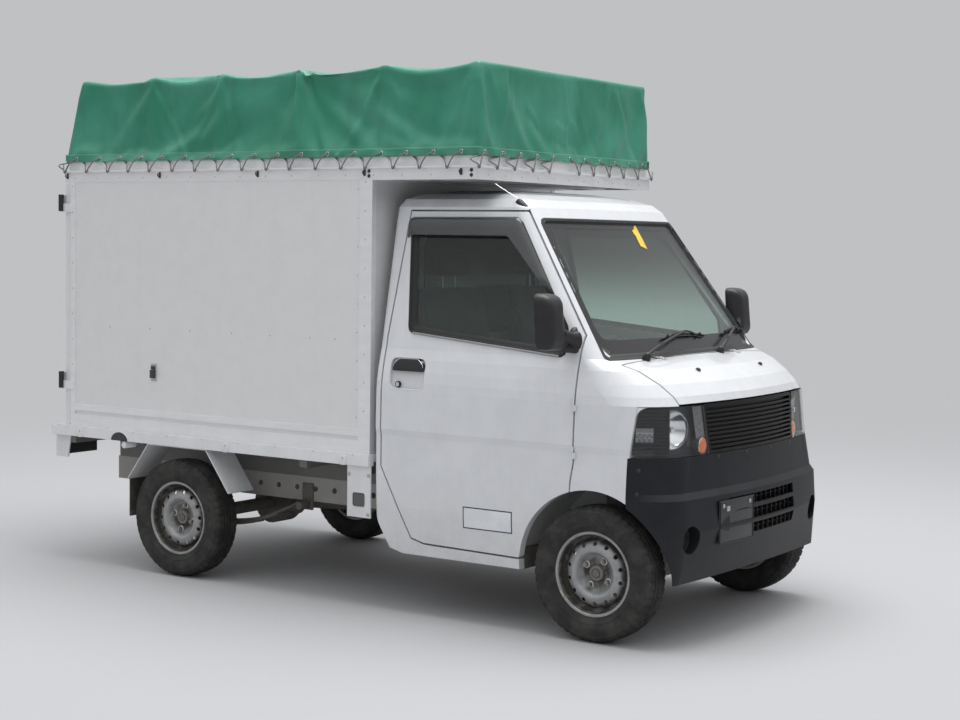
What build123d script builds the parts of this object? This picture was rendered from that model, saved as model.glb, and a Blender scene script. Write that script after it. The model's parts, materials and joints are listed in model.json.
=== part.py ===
from build123d import *
import math
import os

# A kei truck with a box body and a laced canopy.
# Millimetres. X forward, Y to the left, Z up, origin on the ground at mid length.
# Places along the truck are given from the front axle, forward positive, and turned
# into X by at().

# Overall sizes
wheelbase = 2200
front_overhang = 400
rear_overhang = 795
cab_width = 1475
track = 1300
overall_length = front_overhang + wheelbase + rear_overhang
front_axle_x = overall_length / 2 - front_overhang
rear_axle_x = front_axle_x - wheelbase
cab_half = cab_width / 2
past_side = cab_half + 62.5

# Wheels, 145R12 on a 12 inch steel rim
tyre_radius = 268
tyre_width = 145
bead_radius = 153
rim_flange_radius = 166
rim_width = 102
rim_vents = 14
wheel_nuts = 4
nut_circle = 114.3
spindle_radius = 15
bearing_gap = 0.3
kingpin_y = 560

# Cab
cab_wall = 38
roof_wall = 22
cab_back = -1055
door_gap = 7
panel_gap = 0.8
seat_gap = 0.4
arch_radius = tyre_radius + 62
bumper_arch_radius = tyre_radius + 50
liner_radius = tyre_radius + 77
liner_wall = 8
liner_inner_y = 400
floor_top = 500
floor_wall = 18
floor_half = cab_half - 37.5
bulkhead_half = cab_half - 97.5
sill_inner = cab_half - 127.5
housing_outer = cab_half + 22.5
bumper_top = 735
lamp_top = 931
bumper_wall = 14
glass_set_in = 12
glass_wall = 5

# Frame, deck and box
rail_y = 360
rail_width = 50
rail_low = 360
rail_high = 470
deck_top = 650
deck_wall = 32
deck_half = cab_half
box_front = -1090
box_past_axle = 725
box_rear = -wheelbase - box_past_axle
box_set_in = 26.5
box_half = cab_half - box_set_in
box_wall = 24
box_top = 1798
frame_proud = 6
post_width = 60
rear_post_width = 30
rear_door_wall = 30
rear_door_gap = 8

# Top rail: a flush lower part, a lip and a set-back band that the canopy's hem hangs over
overhang_front = -568
fascia_half = box_half + 1
lip_low = box_top + 48
lip_wall = 7
lip_half = box_half + 13
band_half = box_half - 17
band_top = box_top + 107

# Canopy
canopy_low = box_top + 97
canopy_high = box_top + 478
canopy_half_low = box_half - 7
canopy_half_high = box_half - 29
canopy_rear_low, canopy_rear_high = box_rear - 7, box_rear + 75
canopy_front_low, canopy_front_high = -566, -574
canopy_wall = 8
bow_size = 22
bow_places = (canopy_rear_high + 10, -2393, -1970, -1532, -1068, canopy_front_high - 32)
hinge_gap = 0.3


def at(place):
    return front_axle_x + place


nodes = {}


def save(name, *solids):
    nodes[name] = solids[0] if len(solids) == 1 else Compound(children=[s for s in solids])


def block(x0, x1, y0, y1, z0, z1):
    return Pos((x0 + x1) / 2, (y0 + y1) / 2, (z0 + z1) / 2) * Box(x1 - x0, y1 - y0, z1 - z0)


def closed_outline(points, corner):
    if corner:
        return FilletPolyline(*points, radius=corner, close=True)
    return Polyline(*points, close=True)


# side_prism takes (x, z) points, plan_prism (x, y) and front_prism (y, z)
def side_prism(points, y0, y1, corner=0):
    face = Plane.XZ.offset(-y0) * make_face(closed_outline(points, corner))
    return extrude(face, amount=y1 - y0, dir=(0, 1, 0))


def plan_prism(points, z0, z1, corner=0):
    face = Plane.XY.offset(z0) * make_face(closed_outline(points, corner))
    return extrude(face, amount=z1 - z0, dir=(0, 0, 1))


def front_prism(points, x0, x1, corner=0):
    face = Plane.YZ.offset(x0) * make_face(closed_outline(points, corner))
    return extrude(face, amount=x1 - x0, dir=(1, 0, 0))


def rod(start, end, radius):
    start, end = Vector(*start), Vector(*end)
    return Solid.make_cylinder(radius, (end - start).length, Plane(start, z_dir=end - start))


def cross_rod(x, z, radius, y0, y1):
    return rod((x, y0, z), (x, y1, z), radius)


def other_side(solid):
    return mirror(solid, about=Plane.XZ)


def both(solid):
    return [solid, other_side(solid)]


def rectangle(a0, a1, b0, b1):
    return [(a0, b0), (a1, b0), (a1, b1), (a0, b1)]


# Cab skin: level outlines of the cab, from sill to roof. Each has a straight back, two
# rounded rear corners, two sides, two rounded front corners and a bowed nose.
# height, back, side tuck-in, front tuck-in, side end, corner place, corner tuck-in, nose setback
cab_levels = [
    (250, -1050, 22, 22, 190, 328, 120, 50),
    (448, -1053, 8, 8, 180, 354, 168, 0),
    (575, -1055, 6, 6, 160, 346, 168, 14),
    (600, -1055, 6, 6, 150, 328, 185, 32),
    (742, -1055, 6, 6, 110, 314, 225, 40),
    (768, -1055, 0, 1, 104, 311, 228, 42),
    (931, -1055, 3, 6, 80, 298, 237, 62),
    (965, -1055, 6, 10, 50, 278, 240, 78),
    (1010, -1055, 13, 18, 0, 232, 228, 118),
    (1060, -1055, 24, 28, -40, 148, 190, 200),
    (1102, -1055, 36, 40, -80, 16, 124, 342),
    (1642, -1055, 137, 147, -440, -362, 205, 733),
    (1690, -1053, 147, 157, -470, -394, 215, 763),
    (1722, -1040, 173, 184, -500, -434, 245, 808),
    (1745, -1000, 238, 248, -560, -508, 310, 878),
    (1762, -900, 378, 388, -660, -618, 440, 998),
]
roof_line = 1642
rear_corner = 30
corner_bulge = 0.19


def cab_outline(level, inset):
    height, back, side_in, front_in, side_end, corner, corner_in, setback = level
    z = height - (roof_wall * inset / cab_wall if height > roof_line else 0)
    x0 = at(back) + inset
    x1 = at(side_end)
    x2 = at(corner) - 0.97 * inset
    x3 = at(front_overhang - setback) - inset
    y0 = cab_half - side_in - inset
    y1 = cab_half - front_in - inset
    y2 = cab_half - corner_in - 0.25 * inset
    r = max(rear_corner - inset, 6)
    a = r * (1 - math.cos(math.radians(45)))
    bulge_x = (x1 + x2) / 2 + corner_bulge * (y1 - y2)
    bulge_y = (y1 + y2) / 2 + corner_bulge * (x2 - x1)
    left = [
        Edge.make_three_point_arc((x0, y0 - r, z), (x0 + a, y0 - a, z), (x0 + r, y0, z)),
        Edge.make_line((x0 + r, y0, z), (x1, y1, z)),
        Edge.make_three_point_arc((x1, y1, z), (bulge_x, bulge_y, z), (x2, y2, z)),
    ]
    nose = Edge.make_three_point_arc((x2, y2, z), (x3, 0, z), (x2, -y2, z))
    right = [
        Edge.make_three_point_arc((x2, -y2, z), (bulge_x, -bulge_y, z), (x1, -y1, z)),
        Edge.make_line((x1, -y1, z), (x0 + r, -y0, z)),
        Edge.make_three_point_arc((x0 + r, -y0, z), (x0 + a, -y0 + a, z), (x0, -y0 + r, z)),
    ]
    back_line = Edge.make_line((x0, -y0 + r, z), (x0, y0 - r, z))
    return Wire([back_line] + left + [nose] + right)


def cab_volume(inset):
    return Solid.make_loft([cab_outline(level, inset) for level in cab_levels], ruled=True)


cab_outer = cab_volume(0)
cab_inner = cab_volume(cab_wall)
below_sill = block(at(-1200), at(500), -past_side, past_side, 150, 252)


def front_arch(radius, y0=-900, y1=900):
    return cross_rod(at(0), tyre_radius, radius, y0, y1)


# Door outlines, (place, height), seen from the side
door_outline = [
    (-92, 560),
    (-88, 630),
    (-75, 700),
    (-72, 1190),
    (-405, 1678),
    (-975, 1678),
    (-1018, 1150),
    (-1018, 610),
    (-865, 318),
    (-800, 300),
    (-330, 292),
    (-240, 420),
]
door_window = [(-905, 1175), (-146, 1108), (-152, 1218), (-428, 1634), (-957, 1628)]
window_corner = 28
rear_window_half = 430
rear_window_low = 1150
rear_window_high = 1560
screen_low = (638, 1106)
screen_high = (541, 1638)
wipers_from_blade = ((-390, 380), (285, 300))
bonnet_rear = 66
bonnet_outline = [(bonnet_rear, 628), (292, 560), (500, 560)]
cowl_line = 1100


def placed(points):
    return [(at(x), z) for x, z in points]


def door_solid(gap, y0, y1):
    face = make_face(Polyline(*placed(door_outline), close=True))
    if gap:
        face = offset(face, amount=-gap, kind=Kind.INTERSECTION)
    return extrude(Plane.XZ.offset(-y0) * face, amount=y1 - y0, dir=(0, 1, 0))


window_cut = side_prism(placed(door_window), 500, past_side, window_corner)
screen_points = [(-screen_low[0], screen_low[1]), screen_low, screen_high, (-screen_high[0], screen_high[1])]
screen_cut = front_prism(screen_points, at(-520), at(300), 40)
rear_window_cut = front_prism(
    rectangle(-rear_window_half, rear_window_half, rear_window_low, rear_window_high),
    at(cab_back - 60),
    at(cab_back + 80),
    45,
)
bonnet_side = [(at(x), y) for x, y in bonnet_outline]
bonnet_points = bonnet_side + [(x, -y) for x, y in reversed(bonnet_side)]
bonnet_cut = plan_prism(bonnet_points, lamp_top, cowl_line + 12)

# The face of the cab: bumper below, lamps and grille above it
lamp_rear_low, lamp_rear_high = 163, 181
bumper_rear = 156
face_cut = side_prism(
    [
        (at(bumper_rear), 150),
        (at(600), 150),
        (at(600), lamp_top),
        (at(lamp_rear_high), lamp_top),
        (at(lamp_rear_low), bumper_top),
        (at(bumper_rear), bumper_top),
    ],
    -past_side,
    past_side,
)

# Cab shell: roof, pillars, back wall, cowl, front wings and sills in one welded body
shell = cab_outer - cab_inner
shell -= below_sill
for side_cut in both(door_solid(0, 480, past_side)):
    shell -= side_cut
shell -= screen_cut
shell -= rear_window_cut
shell -= bonnet_cut
shell -= face_cut
shell -= front_arch(arch_radius)
back_notch_half = 620
shell -= block(at(-1100), at(-1000), -back_notch_half, back_notch_half, 200, 479)
rear_foot = [(-1100, 200), (-1100, 420), (-1048, 400), (-975, 270), (-900, 250), (-900, 200)]
shell -= side_prism(placed(rear_foot), -past_side, past_side)

# Cab doors, with their windows cut
skin = cab_outer - cab_inner
door_left = skin & door_solid(door_gap, 480, past_side)
door_left -= front_arch(arch_radius)
door_left -= window_cut
handle_x, handle_z = -888, 1000
handle_recess = side_prism(
    placed(rectangle(handle_x - 88, handle_x + 88, handle_z - 62, handle_z + 66)),
    cab_half - 47.5,
    past_side,
    30,
)
handle_depth = 16
handle_pocket = handle_recess & (cab_volume(-5) - cab_volume(handle_depth))
door_left -= handle_pocket
bar_outline = rectangle(handle_x - 70, handle_x + 70, handle_z + 22, handle_z + 56)
handle_bar = side_prism(placed(bar_outline), cab_half - 47.5, past_side, 12)
door_left += handle_bar & (cab_outer - cab_volume(handle_depth + 2))

# Door hinges: knuckles at the shut line, where the door turns
door_axis_x = at(-78)
door_axis_y = cab_half + 1
knuckle_radius = 3.5
knuckle_length = 24
door_hinge_heights = (740, 925)
door_knuckles = []
shell_knuckles = []
for z in door_hinge_heights:
    low, high = z + hinge_gap, z + knuckle_length
    upper = rod((door_axis_x, door_axis_y, low), (door_axis_x, door_axis_y, high), knuckle_radius)
    strap = block(door_axis_x - 16, door_axis_x - 3, cab_half - 20, cab_half - 2, low, high)
    strap += block(door_axis_x - 8, door_axis_x, cab_half - 5, cab_half + 3, low, high)
    door_knuckles.append(upper + strap)
    foot = z - knuckle_length
    lower = rod((door_axis_x, door_axis_y, foot), (door_axis_x, door_axis_y, z), knuckle_radius)
    leaf = block(door_axis_x, door_axis_x + 12, cab_half - 12, cab_half + 3, foot, z)
    shell_knuckles.append(lower + leaf)
for piece in door_knuckles:
    door_left += piece
for piece in shell_knuckles:
    shell += piece
    shell += other_side(piece)

door_glass = (cab_volume(glass_set_in) - cab_volume(glass_set_in + glass_wall)) & side_prism(
    placed(door_window), 500, past_side, window_corner
)
glass_trim = offset(make_face(closed_outline(placed(door_window), window_corner)), amount=-seat_gap)
door_glass &= extrude(Plane.XZ.offset(-500) * glass_trim, amount=300, dir=(0, 1, 0))

# Door mirrors on an arm at the front corner of the window
mirror_place, mirror_z = -128, 1246
mirror_y = cab_half + 66
mirror_head = plan_prism(
    [
        (at(mirror_place - 34), mirror_y - 64),
        (at(mirror_place - 34), mirror_y + 66),
        (at(mirror_place + 12), mirror_y + 58),
        (at(mirror_place + 38), mirror_y + 20),
        (at(mirror_place + 36), mirror_y - 56),
    ],
    mirror_z - 104,
    mirror_z + 108,
    10,
)
mirror_glass_depth = 5
mirror_head -= block(
    at(mirror_place - 40),
    at(mirror_place - 34 + mirror_glass_depth),
    mirror_y - 56,
    mirror_y + 58,
    mirror_z - 95,
    mirror_z + 99,
)
mirror_foot_outline = [(-94, 1126), (-78, 1128), (-106, 1215), (-132, 1226)]
mirror_foot = side_prism(placed(mirror_foot_outline), 600, mirror_y - 60, 4)
mirror_foot -= cab_volume(-seat_gap)
mirror_arm = mirror_head + mirror_foot
mirror_arm = mirror_arm - cab_volume(-seat_gap)

save("door_left", door_left)
save("door_right", other_side(door_left))
save("door_glass_left", door_glass)
save("door_glass_right", other_side(door_glass))
save("mirror_left", mirror_arm)
save("mirror_right", other_side(mirror_arm))

# Bonnet lid, hinged along the cowl
lid_face = offset(make_face(Polyline(*bonnet_points, close=True)), amount=-door_gap, kind=Kind.INTERSECTION)
bonnet = skin & extrude(Plane.XY.offset(lamp_top + 6) * lid_face, amount=200, dir=(0, 0, 1))
lid_axis_x = at(bonnet_rear + door_gap / 2)
lid_axis_z = 1098
lid_hinge_places = (-330, 330)
lid_pin_radius = 3
lid_strap = [(0, -2), (0, 2), (26, -4), (26, -16)]
cowl_strap = [(0, -2), (0, 2), (-20, 3), (-20, -14)]


def about_lid_axis(points):
    return [(lid_axis_x + x, lid_axis_z + z) for x, z in points]


for y in lid_hinge_places:
    moving = cross_rod(lid_axis_x, lid_axis_z, lid_pin_radius, y, y + 24)
    moving += side_prism(about_lid_axis(lid_strap), y, y + 24)
    bonnet += moving
    fixed = cross_rod(lid_axis_x, lid_axis_z, lid_pin_radius, y - 24, y - hinge_gap)
    fixed += side_prism(about_lid_axis(cowl_strap), y - 24, y - hinge_gap)
    shell += fixed
save("bonnet", bonnet)
save("cab_shell", shell)

# Glass of the cab
screen_glass = (cab_volume(glass_set_in) - cab_volume(glass_set_in + glass_wall)) & front_prism(
    screen_points, at(-520), at(300), 40
)
screen_trim = offset(make_face(closed_outline(screen_points, 40)), amount=-seat_gap)
screen_glass &= extrude(Plane.YZ.offset(at(-520)) * screen_trim, amount=820, dir=(1, 0, 0))
rear_glass = front_prism(
    rectangle(
        -rear_window_half + seat_gap,
        rear_window_half - seat_gap,
        rear_window_low + seat_gap,
        rear_window_high - seat_gap,
    ),
    at(cab_back + glass_set_in),
    at(cab_back + glass_set_in + glass_wall),
    45,
)
save("cab_glass", screen_glass, rear_glass)

# Front bumper: a hollow moulding with an intake and two lamp recesses
bumper = cab_outer - cab_volume(bumper_wall)
bumper &= block(at(bumper_rear + panel_gap), at(600), -past_side, past_side, 251, bumper_top - panel_gap)
bumper -= front_arch(bumper_arch_radius)
intake_half = 300
intake_rows = [(398, 440), (456, 500), (516, 556)]
for low, high in intake_rows:
    bumper -= block(at(250), at(500), -intake_half, intake_half, low, high)
fog_y, fog_z, fog_radius = 560, 420, 54
fog_floor = 300
for y in (fog_y, -fog_y):
    bumper -= rod((at(200), y, fog_z), (at(500), y, fog_z), fog_radius)
    bumper += rod((at(fog_floor), y, fog_z), (at(fog_floor + 10), y, fog_z), fog_radius + 3)
    collar = rod((at(fog_floor), y, fog_z), (at(500), y, fog_z), fog_radius + 3)
    collar -= rod((at(fog_floor), y, fog_z), (at(500), y, fog_z), fog_radius)
    bumper += collar & cab_outer
save("front_bumper", bumper)

# Grille: level bars in a frame
grille_low_half, grille_high_half = 386, 405
grille_zone = [
    (-grille_low_half, bumper_top + panel_gap),
    (grille_low_half, bumper_top + panel_gap),
    (grille_high_half, lamp_top - panel_gap),
    (-grille_high_half, lamp_top - panel_gap),
]
grille_prism = front_prism(grille_zone, at(150), at(500), 14)
slat_count = 10
slat_height = 8
slat_pitch = (lamp_top - bumper_top - 24) / slat_count
backing = (cab_volume(22) - cab_volume(34)) & grille_prism
bars = (cab_volume(4) - cab_volume(24)) & grille_prism
window_z0, window_z1 = bumper_top + 14, lamp_top - 14
frame_ring = bars - front_prism(
    [
        (-grille_low_half + 16, window_z0),
        (grille_low_half - 16, window_z0),
        (grille_high_half - 16, window_z1),
        (-grille_high_half + 16, window_z1),
    ],
    at(150),
    at(500),
    8,
)
grille = backing + frame_ring
for i in range(1, slat_count):
    z = window_z0 + i * slat_pitch - slat_height
    grille += bars & block(at(150), at(500), -grille_high_half, grille_high_half, z, z + slat_height)
save("grille", grille)

# Headlamps: closed units that wrap round the cab's corners
lamp_depth = 60
lamp_prism = side_prism(
    [
        (at(lamp_rear_low + panel_gap), bumper_top + panel_gap),
        (at(500), bumper_top + panel_gap),
        (at(500), lamp_top - panel_gap),
        (at(lamp_rear_high + panel_gap), lamp_top - panel_gap),
    ],
    300,
    past_side,
)
lamp_side = front_prism(
    [
        (grille_low_half + panel_gap, bumper_top),
        (past_side, bumper_top),
        (past_side, lamp_top),
        (grille_high_half + panel_gap, lamp_top),
    ],
    at(100),
    at(500),
)
headlamp = (cab_volume(1) - cab_volume(lamp_depth)) & lamp_prism & lamp_side
save("headlamps", *both(headlamp))

# Cab floor: a flat pan, two sill boxes and the front bulkhead that stands on it
housing_radius = liner_radius + liner_wall
housing_clear = housing_radius + seat_gap
housing_side = liner_inner_y - seat_gap
housing_room = both(cross_rod(at(0), tyre_radius, housing_clear, housing_side, housing_outer))
seat_box_rear, seat_box_front, seat_box_top = -960, -330, 700
seat_box_half = bulkhead_half
seat_box_wall = 14
engine_hole_half = rail_y - 45
lamp_room = block(at(bumper_rear - 8), at(500), -past_side, past_side, 200, lamp_top + 8)
lamp_room -= cab_volume(lamp_depth + panel_gap)
door_room = (cab_outer - cab_volume(cab_wall + door_gap)) & door_solid(-door_gap, 480, past_side)
cab_room = cab_volume(cab_wall + seat_gap)


def inside_cab(solid):
    solid &= cab_room
    solid -= lamp_room
    solid -= door_room
    return solid - other_side(door_room)


floor_pan = block(at(cab_back), at(213), -floor_half, floor_half, floor_top - floor_wall, floor_top)
floor_pan -= block(
    at(seat_box_rear + seat_box_wall),
    at(seat_box_front - seat_box_wall),
    -engine_hole_half,
    engine_hole_half,
    floor_top - floor_wall - 5,
    floor_top + 5,
)
for room in housing_room:
    floor_pan -= room
sills = []
for s in (1, -1):
    y0, y1 = sorted((s * sill_inner, s * floor_half))
    sill = block(at(cab_back), at(-liner_radius), y0, y1, 262, floor_top - floor_wall - seat_gap)
    sill -= cross_rod(at(0), tyre_radius, housing_radius + seat_gap, y0, y1)
    sills.append(inside_cab(sill))
bulkhead_foot = floor_top + seat_gap
bulkhead_side = [(62, 1062), (70, 1062), (213, 720), (213, bulkhead_foot), (205, bulkhead_foot), (205, 720)]
bulkhead = side_prism(placed(bulkhead_side), -bulkhead_half, bulkhead_half)
for room in housing_room:
    bulkhead -= room
save("cab_floor", inside_cab(floor_pan), *sills, inside_cab(bulkhead))

# Wheel housings over the front wheels, closed on their inner side
housings = []
for s in (1, -1):
    y0, y1 = sorted((s * liner_inner_y, s * floor_half))
    housing = cross_rod(at(0), tyre_radius, housing_radius, y0, y1)
    housing &= block(at(-600), at(290), y0, y1, 290, 700)
    y0, y1 = sorted((s * (liner_inner_y + liner_wall), s * housing_outer))
    housing -= cross_rod(at(0), tyre_radius, liner_radius, y0, y1)
    housings.append(inside_cab(housing))
save("wheel_housings", *housings)

# Seat box over the engine
seat_box = block(
    at(seat_box_rear), at(seat_box_front), -seat_box_half, seat_box_half, bulkhead_foot, seat_box_top
)
seat_box -= block(
    at(seat_box_rear + seat_box_wall),
    at(seat_box_front - seat_box_wall),
    -seat_box_half + seat_box_wall,
    seat_box_half - seat_box_wall,
    floor_top - 5,
    seat_box_top - seat_box_wall,
)
save("seat_box", seat_box)

# Dashboard with the steering column, for a driver on the right
driver_y = -345
dash_profile = [(65.6, 1052), (-30, 1072), (-92, 1040), (-96, 960), (-60, 850), (10, 830), (106, 955)]
dash_half = cab_half - 137.5
dashboard = side_prism(placed(dash_profile), -dash_half, dash_half, 12)
cluster_profile = [(-20, 1060), (-60, 1104), (-110, 1096), (-112, 1000), (-40, 980)]
dashboard += side_prism(placed(cluster_profile), driver_y - 150, driver_y + 150, 8)
column_angle = 48
column_out = (-math.cos(math.radians(column_angle)), 0, math.sin(math.radians(column_angle)))
wheel_centre = (at(-290), driver_y, 1040)


def along_column(distance):
    return tuple(c + distance * d for c, d in zip(wheel_centre, column_out))


shroud = placed([(-40, 850), (-90, 990), (-215, 985), (-190, 925), (-110, 840)])
dashboard += side_prism(shroud, driver_y - 48, driver_y + 48, 10)
dashboard += rod(along_column(-330), along_column(-60), 34)
dashboard -= rod(along_column(-110), along_column(-40), 12)
save("dashboard", dashboard)

# Steering wheel on its shaft
steering_radius = 185
grip_radius = 14
wheel_plane = Plane(origin=wheel_centre, z_dir=column_out)
rim_profile = Plane.XZ * (Pos(steering_radius, 0) * Circle(grip_radius))
steering_wheel = wheel_plane * revolve(rim_profile, Axis.Z)
hub = Pos(0, 0, -24) * Cylinder(44, 40)
for angle in (0, 180, 250, 290):
    spoke = Rot(0, 0, angle) * block(30, steering_radius - 4, -13, 13, -18, -6)
    hub += spoke
steering_wheel += wheel_plane * hub
steering_wheel += rod(along_column(-105), along_column(-30), 12 - bearing_gap)
save("steering_wheel", steering_wheel)

# Seats: two separate cushions and backs, each with a headrest
seat_half = 245
seat_places = (driver_y, -driver_y)
cushion_profile = [(-900, 715), (-420, 715), (-392, 760), (-400, 800), (-440, 818), (-880, 782)]
back_profile = [(-985, 1345), (-925, 1350), (-800, 776), (-890, 762)]
head_profile = [(-1000, 1400), (-985, 1515), (-925, 1515), (-905, 1400)]
cushions = []
backs = []
for y in seat_places:
    cushion = side_prism(placed(cushion_profile), y - seat_half, y + seat_half, 14)
    cushion += block(at(-850), at(-450), y - 170, y + 170, seat_box_top + seat_gap, 730)
    cushions.append(cushion)
    back = side_prism(placed(back_profile), y - seat_half + 10, y + seat_half - 10, 14)
    back += side_prism(placed(head_profile), y - 120, y + 120, 14)
    for dy in (-45, 45):
        back += rod((at(-952), y + dy, 1320), (at(-952), y + dy, 1420), 7)
    cushion_room = side_prism(placed(cushion_profile), y - seat_half - 1, y + seat_half + 1, 14)
    backs.append(back - Pos(0, 0, seat_gap) * cushion_room)
save("seats", *cushions, *backs)


# Wipers: arms and blades parked along the foot of the windscreen
def screen_point(y, z, stand):
    low, high = cab_levels[10], cab_levels[11]
    share = (z - low[0]) / (high[0] - low[0])
    nose = front_overhang - low[7] + share * (low[7] - high[7])
    corner = low[5] + share * (high[5] - low[5])
    corner_y = cab_half - low[6] + share * (low[6] - high[6])
    return (at(nose - (nose - corner) * (y / corner_y) ** 2 + stand), y, z)


wipers = []
for pivot_y, blade in wipers_from_blade:
    head = screen_point(pivot_y, 1118, 34)
    elbow = screen_point(pivot_y + blade / 2, 1158, 20)
    wiper = rod(screen_point(pivot_y, 1086, -8), head, 9) + rod(head, elbow, 6)
    wiper += rod(elbow, screen_point(pivot_y + blade / 2, 1164, 9), 5)
    wiper += rod(screen_point(pivot_y + 10, 1138, 12), screen_point(pivot_y + blade, 1182, 14), 6)
    wipers.append(wiper - cab_volume(-seat_gap))
save("wipers", *wipers)

# Ladder frame: two rails with cab mounts, cross members between them and a tow eye under
# each rail's front end
rails = []
mount_radius = 24
mount_top = floor_top - floor_wall - seat_gap
for s in (1, -1):
    y0, y1 = sorted((s * (rail_y - rail_width / 2), s * (rail_y + rail_width / 2)))
    rail = block(at(box_rear + 20), at(240), y0, y1, rail_low, rail_high)
    for place in range(round(-wheelbase) - 440, -1300, 110):
        rail -= rod((at(place), y0 - 5, 418), (at(place), y1 + 5, 418), 13)
    for place in (-930, -420, 110):
        foot = (at(place), s * rail_y, rail_high - 5)
        rail += rod(foot, (at(place), s * rail_y, mount_top), mount_radius)
    rails.append(rail)
member_half = rail_y - rail_width / 2 - seat_gap
cross_members = [
    block(at(place - 25), at(place + 25), -member_half, member_half, rail_high - 60, rail_high - 4)
    for place in (box_rear + 65, -wheelbase - 300, -wheelbase + 320, -1330, -1000, -120, 190)
]
tow_eye_x, tow_eye_z = at(300), 340
tow_eye_radius = 14
lug_top = rail_low - seat_gap
lug_outline = [(180, lug_top), (180, 345), (282, 312), (328, 322), (328, lug_top)]
lugs = []
for y in (rail_y, -rail_y):
    lug = side_prism(placed(lug_outline), y - 6, y + 6)
    lugs.append(lug - cross_rod(tow_eye_x, tow_eye_z, tow_eye_radius, y - 20, y + 20))
save("chassis_frame", *rails, *cross_members, *lugs)

# Deck: floor plate with a raised lining, and an edge rail, skirt and tail bracket each side
deck_front = box_front + 15
deck_rear = box_rear - 30
edge_rail_width = 36
edge_rail_low = deck_top - 50
plate_half = deck_half - edge_rail_width - seat_gap
lining = 2
lining_half = box_half - box_wall - 2
deck = block(at(deck_rear), at(deck_front), -plate_half, plate_half, deck_top - deck_wall, deck_top)
deck += block(
    at(box_rear + rear_door_wall + 42),
    at(box_front - box_wall - 2),
    -lining_half,
    lining_half,
    deck_top - 1,
    deck_top + lining,
)
edge_rail_side = deck_half - edge_rail_width
edge_rail = block(at(deck_rear), at(deck_front), edge_rail_side, deck_half, edge_rail_low, deck_top)
skirt_outline = rectangle(-1200, deck_front, 380, edge_rail_low + 4)
skirt = side_prism(placed(skirt_outline), deck_half - 22, deck_half - 16)
skirt -= side_prism(placed(rectangle(-1172, -1104, 424, 486)), deck_half - 19, deck_half, 14)
edge_rail += skirt
tail_end = -wheelbase - rear_overhang
tail_outline = [
    (deck_rear + 30, deck_top - 5),
    (tail_end, deck_top - 5),
    (tail_end, 492),
    (deck_rear + 40, 492),
    (deck_rear + 60, edge_rail_low),
]
edge_rail += side_prism(placed(tail_outline), edge_rail_side, deck_half - 30)
edge_rail += block(at(tail_end), at(deck_rear + 10), edge_rail_side, deck_half, edge_rail_low, deck_top - 5)
save("cargo_deck", deck, *both(edge_rail))

# Bearers: two along the frame rails, and cross sills between them and the deck
sill_low = 562
sill_top = deck_top - deck_wall - seat_gap
bearers = []
for s in (1, -1):
    y0, y1 = sorted((s * (rail_y - rail_width / 2), s * (rail_y + rail_width / 2)))
    bearer_low, bearer_high = rail_high + seat_gap, sill_low - seat_gap
    bearers.append(block(at(deck_rear + 60), at(deck_front - 20), y0, y1, bearer_low, bearer_high))
for place in (box_rear + 35, -wheelbase - 400, -wheelbase, -wheelbase + 400, -1460, -1130):
    half = 545 if abs(place + wheelbase) < 420 else plate_half
    bearers.append(block(at(place - 22), at(place + 22), -half, half, sill_low, sill_top))
bearers.append(block(at(deck_rear), at(deck_rear + 40), -plate_half, plate_half, sill_low, sill_top))
save("deck_bearers", *bearers)

# Box: side panels, front wall, aluminium frame with the overhang and canopy bows
panel_low = deck_top + 0.3
side_panel = block(
    at(box_rear + rear_door_wall + rear_post_width + door_gap),
    at(box_front - post_width),
    box_half - box_wall,
    box_half,
    panel_low,
    box_top,
)
wall_half = box_half - box_wall
front_wall = block(at(box_front - box_wall), at(box_front), -wall_half, wall_half, panel_low, box_top)
save("box_panels", *both(side_panel), front_wall)

rear_axis_x = at(box_rear - 18)
rear_axis_y = box_half + 13
rear_knuckle = 9
rear_hinge_heights = (860, 1700)
frame_out = box_half + frame_proud
frame_in = box_half - box_wall
bow_half = canopy_half_high - canopy_wall - 1.5
bow_high = canopy_high - canopy_wall - 0.5
rail_inner = bow_half - bow_size
post_rear_x = at(box_rear + rear_door_wall + door_gap)
overhang_wall = 14


def hollow_rectangle(half, x0, x1, z0, z1, width):
    outer = block(at(x0), at(x1), -half, half, z0, z1)
    return outer - block(at(x0) + width, at(x1) - width, -rail_inner, rail_inner, z0 - 5, z1 + 5)


box_frame = hollow_rectangle(fascia_half, box_rear, overhang_front, box_top, lip_low + 1, 30)
box_frame += hollow_rectangle(lip_half, box_rear - 11, overhang_front + 12, lip_low, lip_low + lip_wall, 40)
box_frame += hollow_rectangle(band_half, box_rear + 6, overhang_front - 8, lip_low, band_top, 26)
for place in (box_front - box_wall, -980, -800):
    width = box_wall + 40 if place < -1000 else 40
    half = rail_inner + 5
    box_frame += block(at(place), at(place + width), -half, half, box_top, box_top + overhang_wall)
for s in (1, -1):
    y0, y1 = sorted((s * frame_in, s * frame_out))
    box_frame += block(at(box_front - post_width), at(box_front + 4), y0, y1, panel_low, box_top)
    box_frame += block(post_rear_x, post_rear_x + rear_post_width, y0, y1, panel_low, box_top)
    y0, y1 = sorted((s * (box_half + seat_gap), s * frame_out))
    for low, high in ((panel_low, deck_top + 54), (deck_top + 72, deck_top + 102)):
        box_frame += block(post_rear_x + 1, at(box_front - 1), y0, y1, low, high)
for z in rear_hinge_heights:
    pin = rod((rear_axis_x, rear_axis_y, z - 40), (rear_axis_x, rear_axis_y, z), rear_knuckle)
    pin += block(rear_axis_x, post_rear_x + 24, frame_out - 1, frame_out + 5, z - 40, z)
    box_frame += pin
    box_frame += other_side(pin)
save("box_frame", box_frame)

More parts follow.
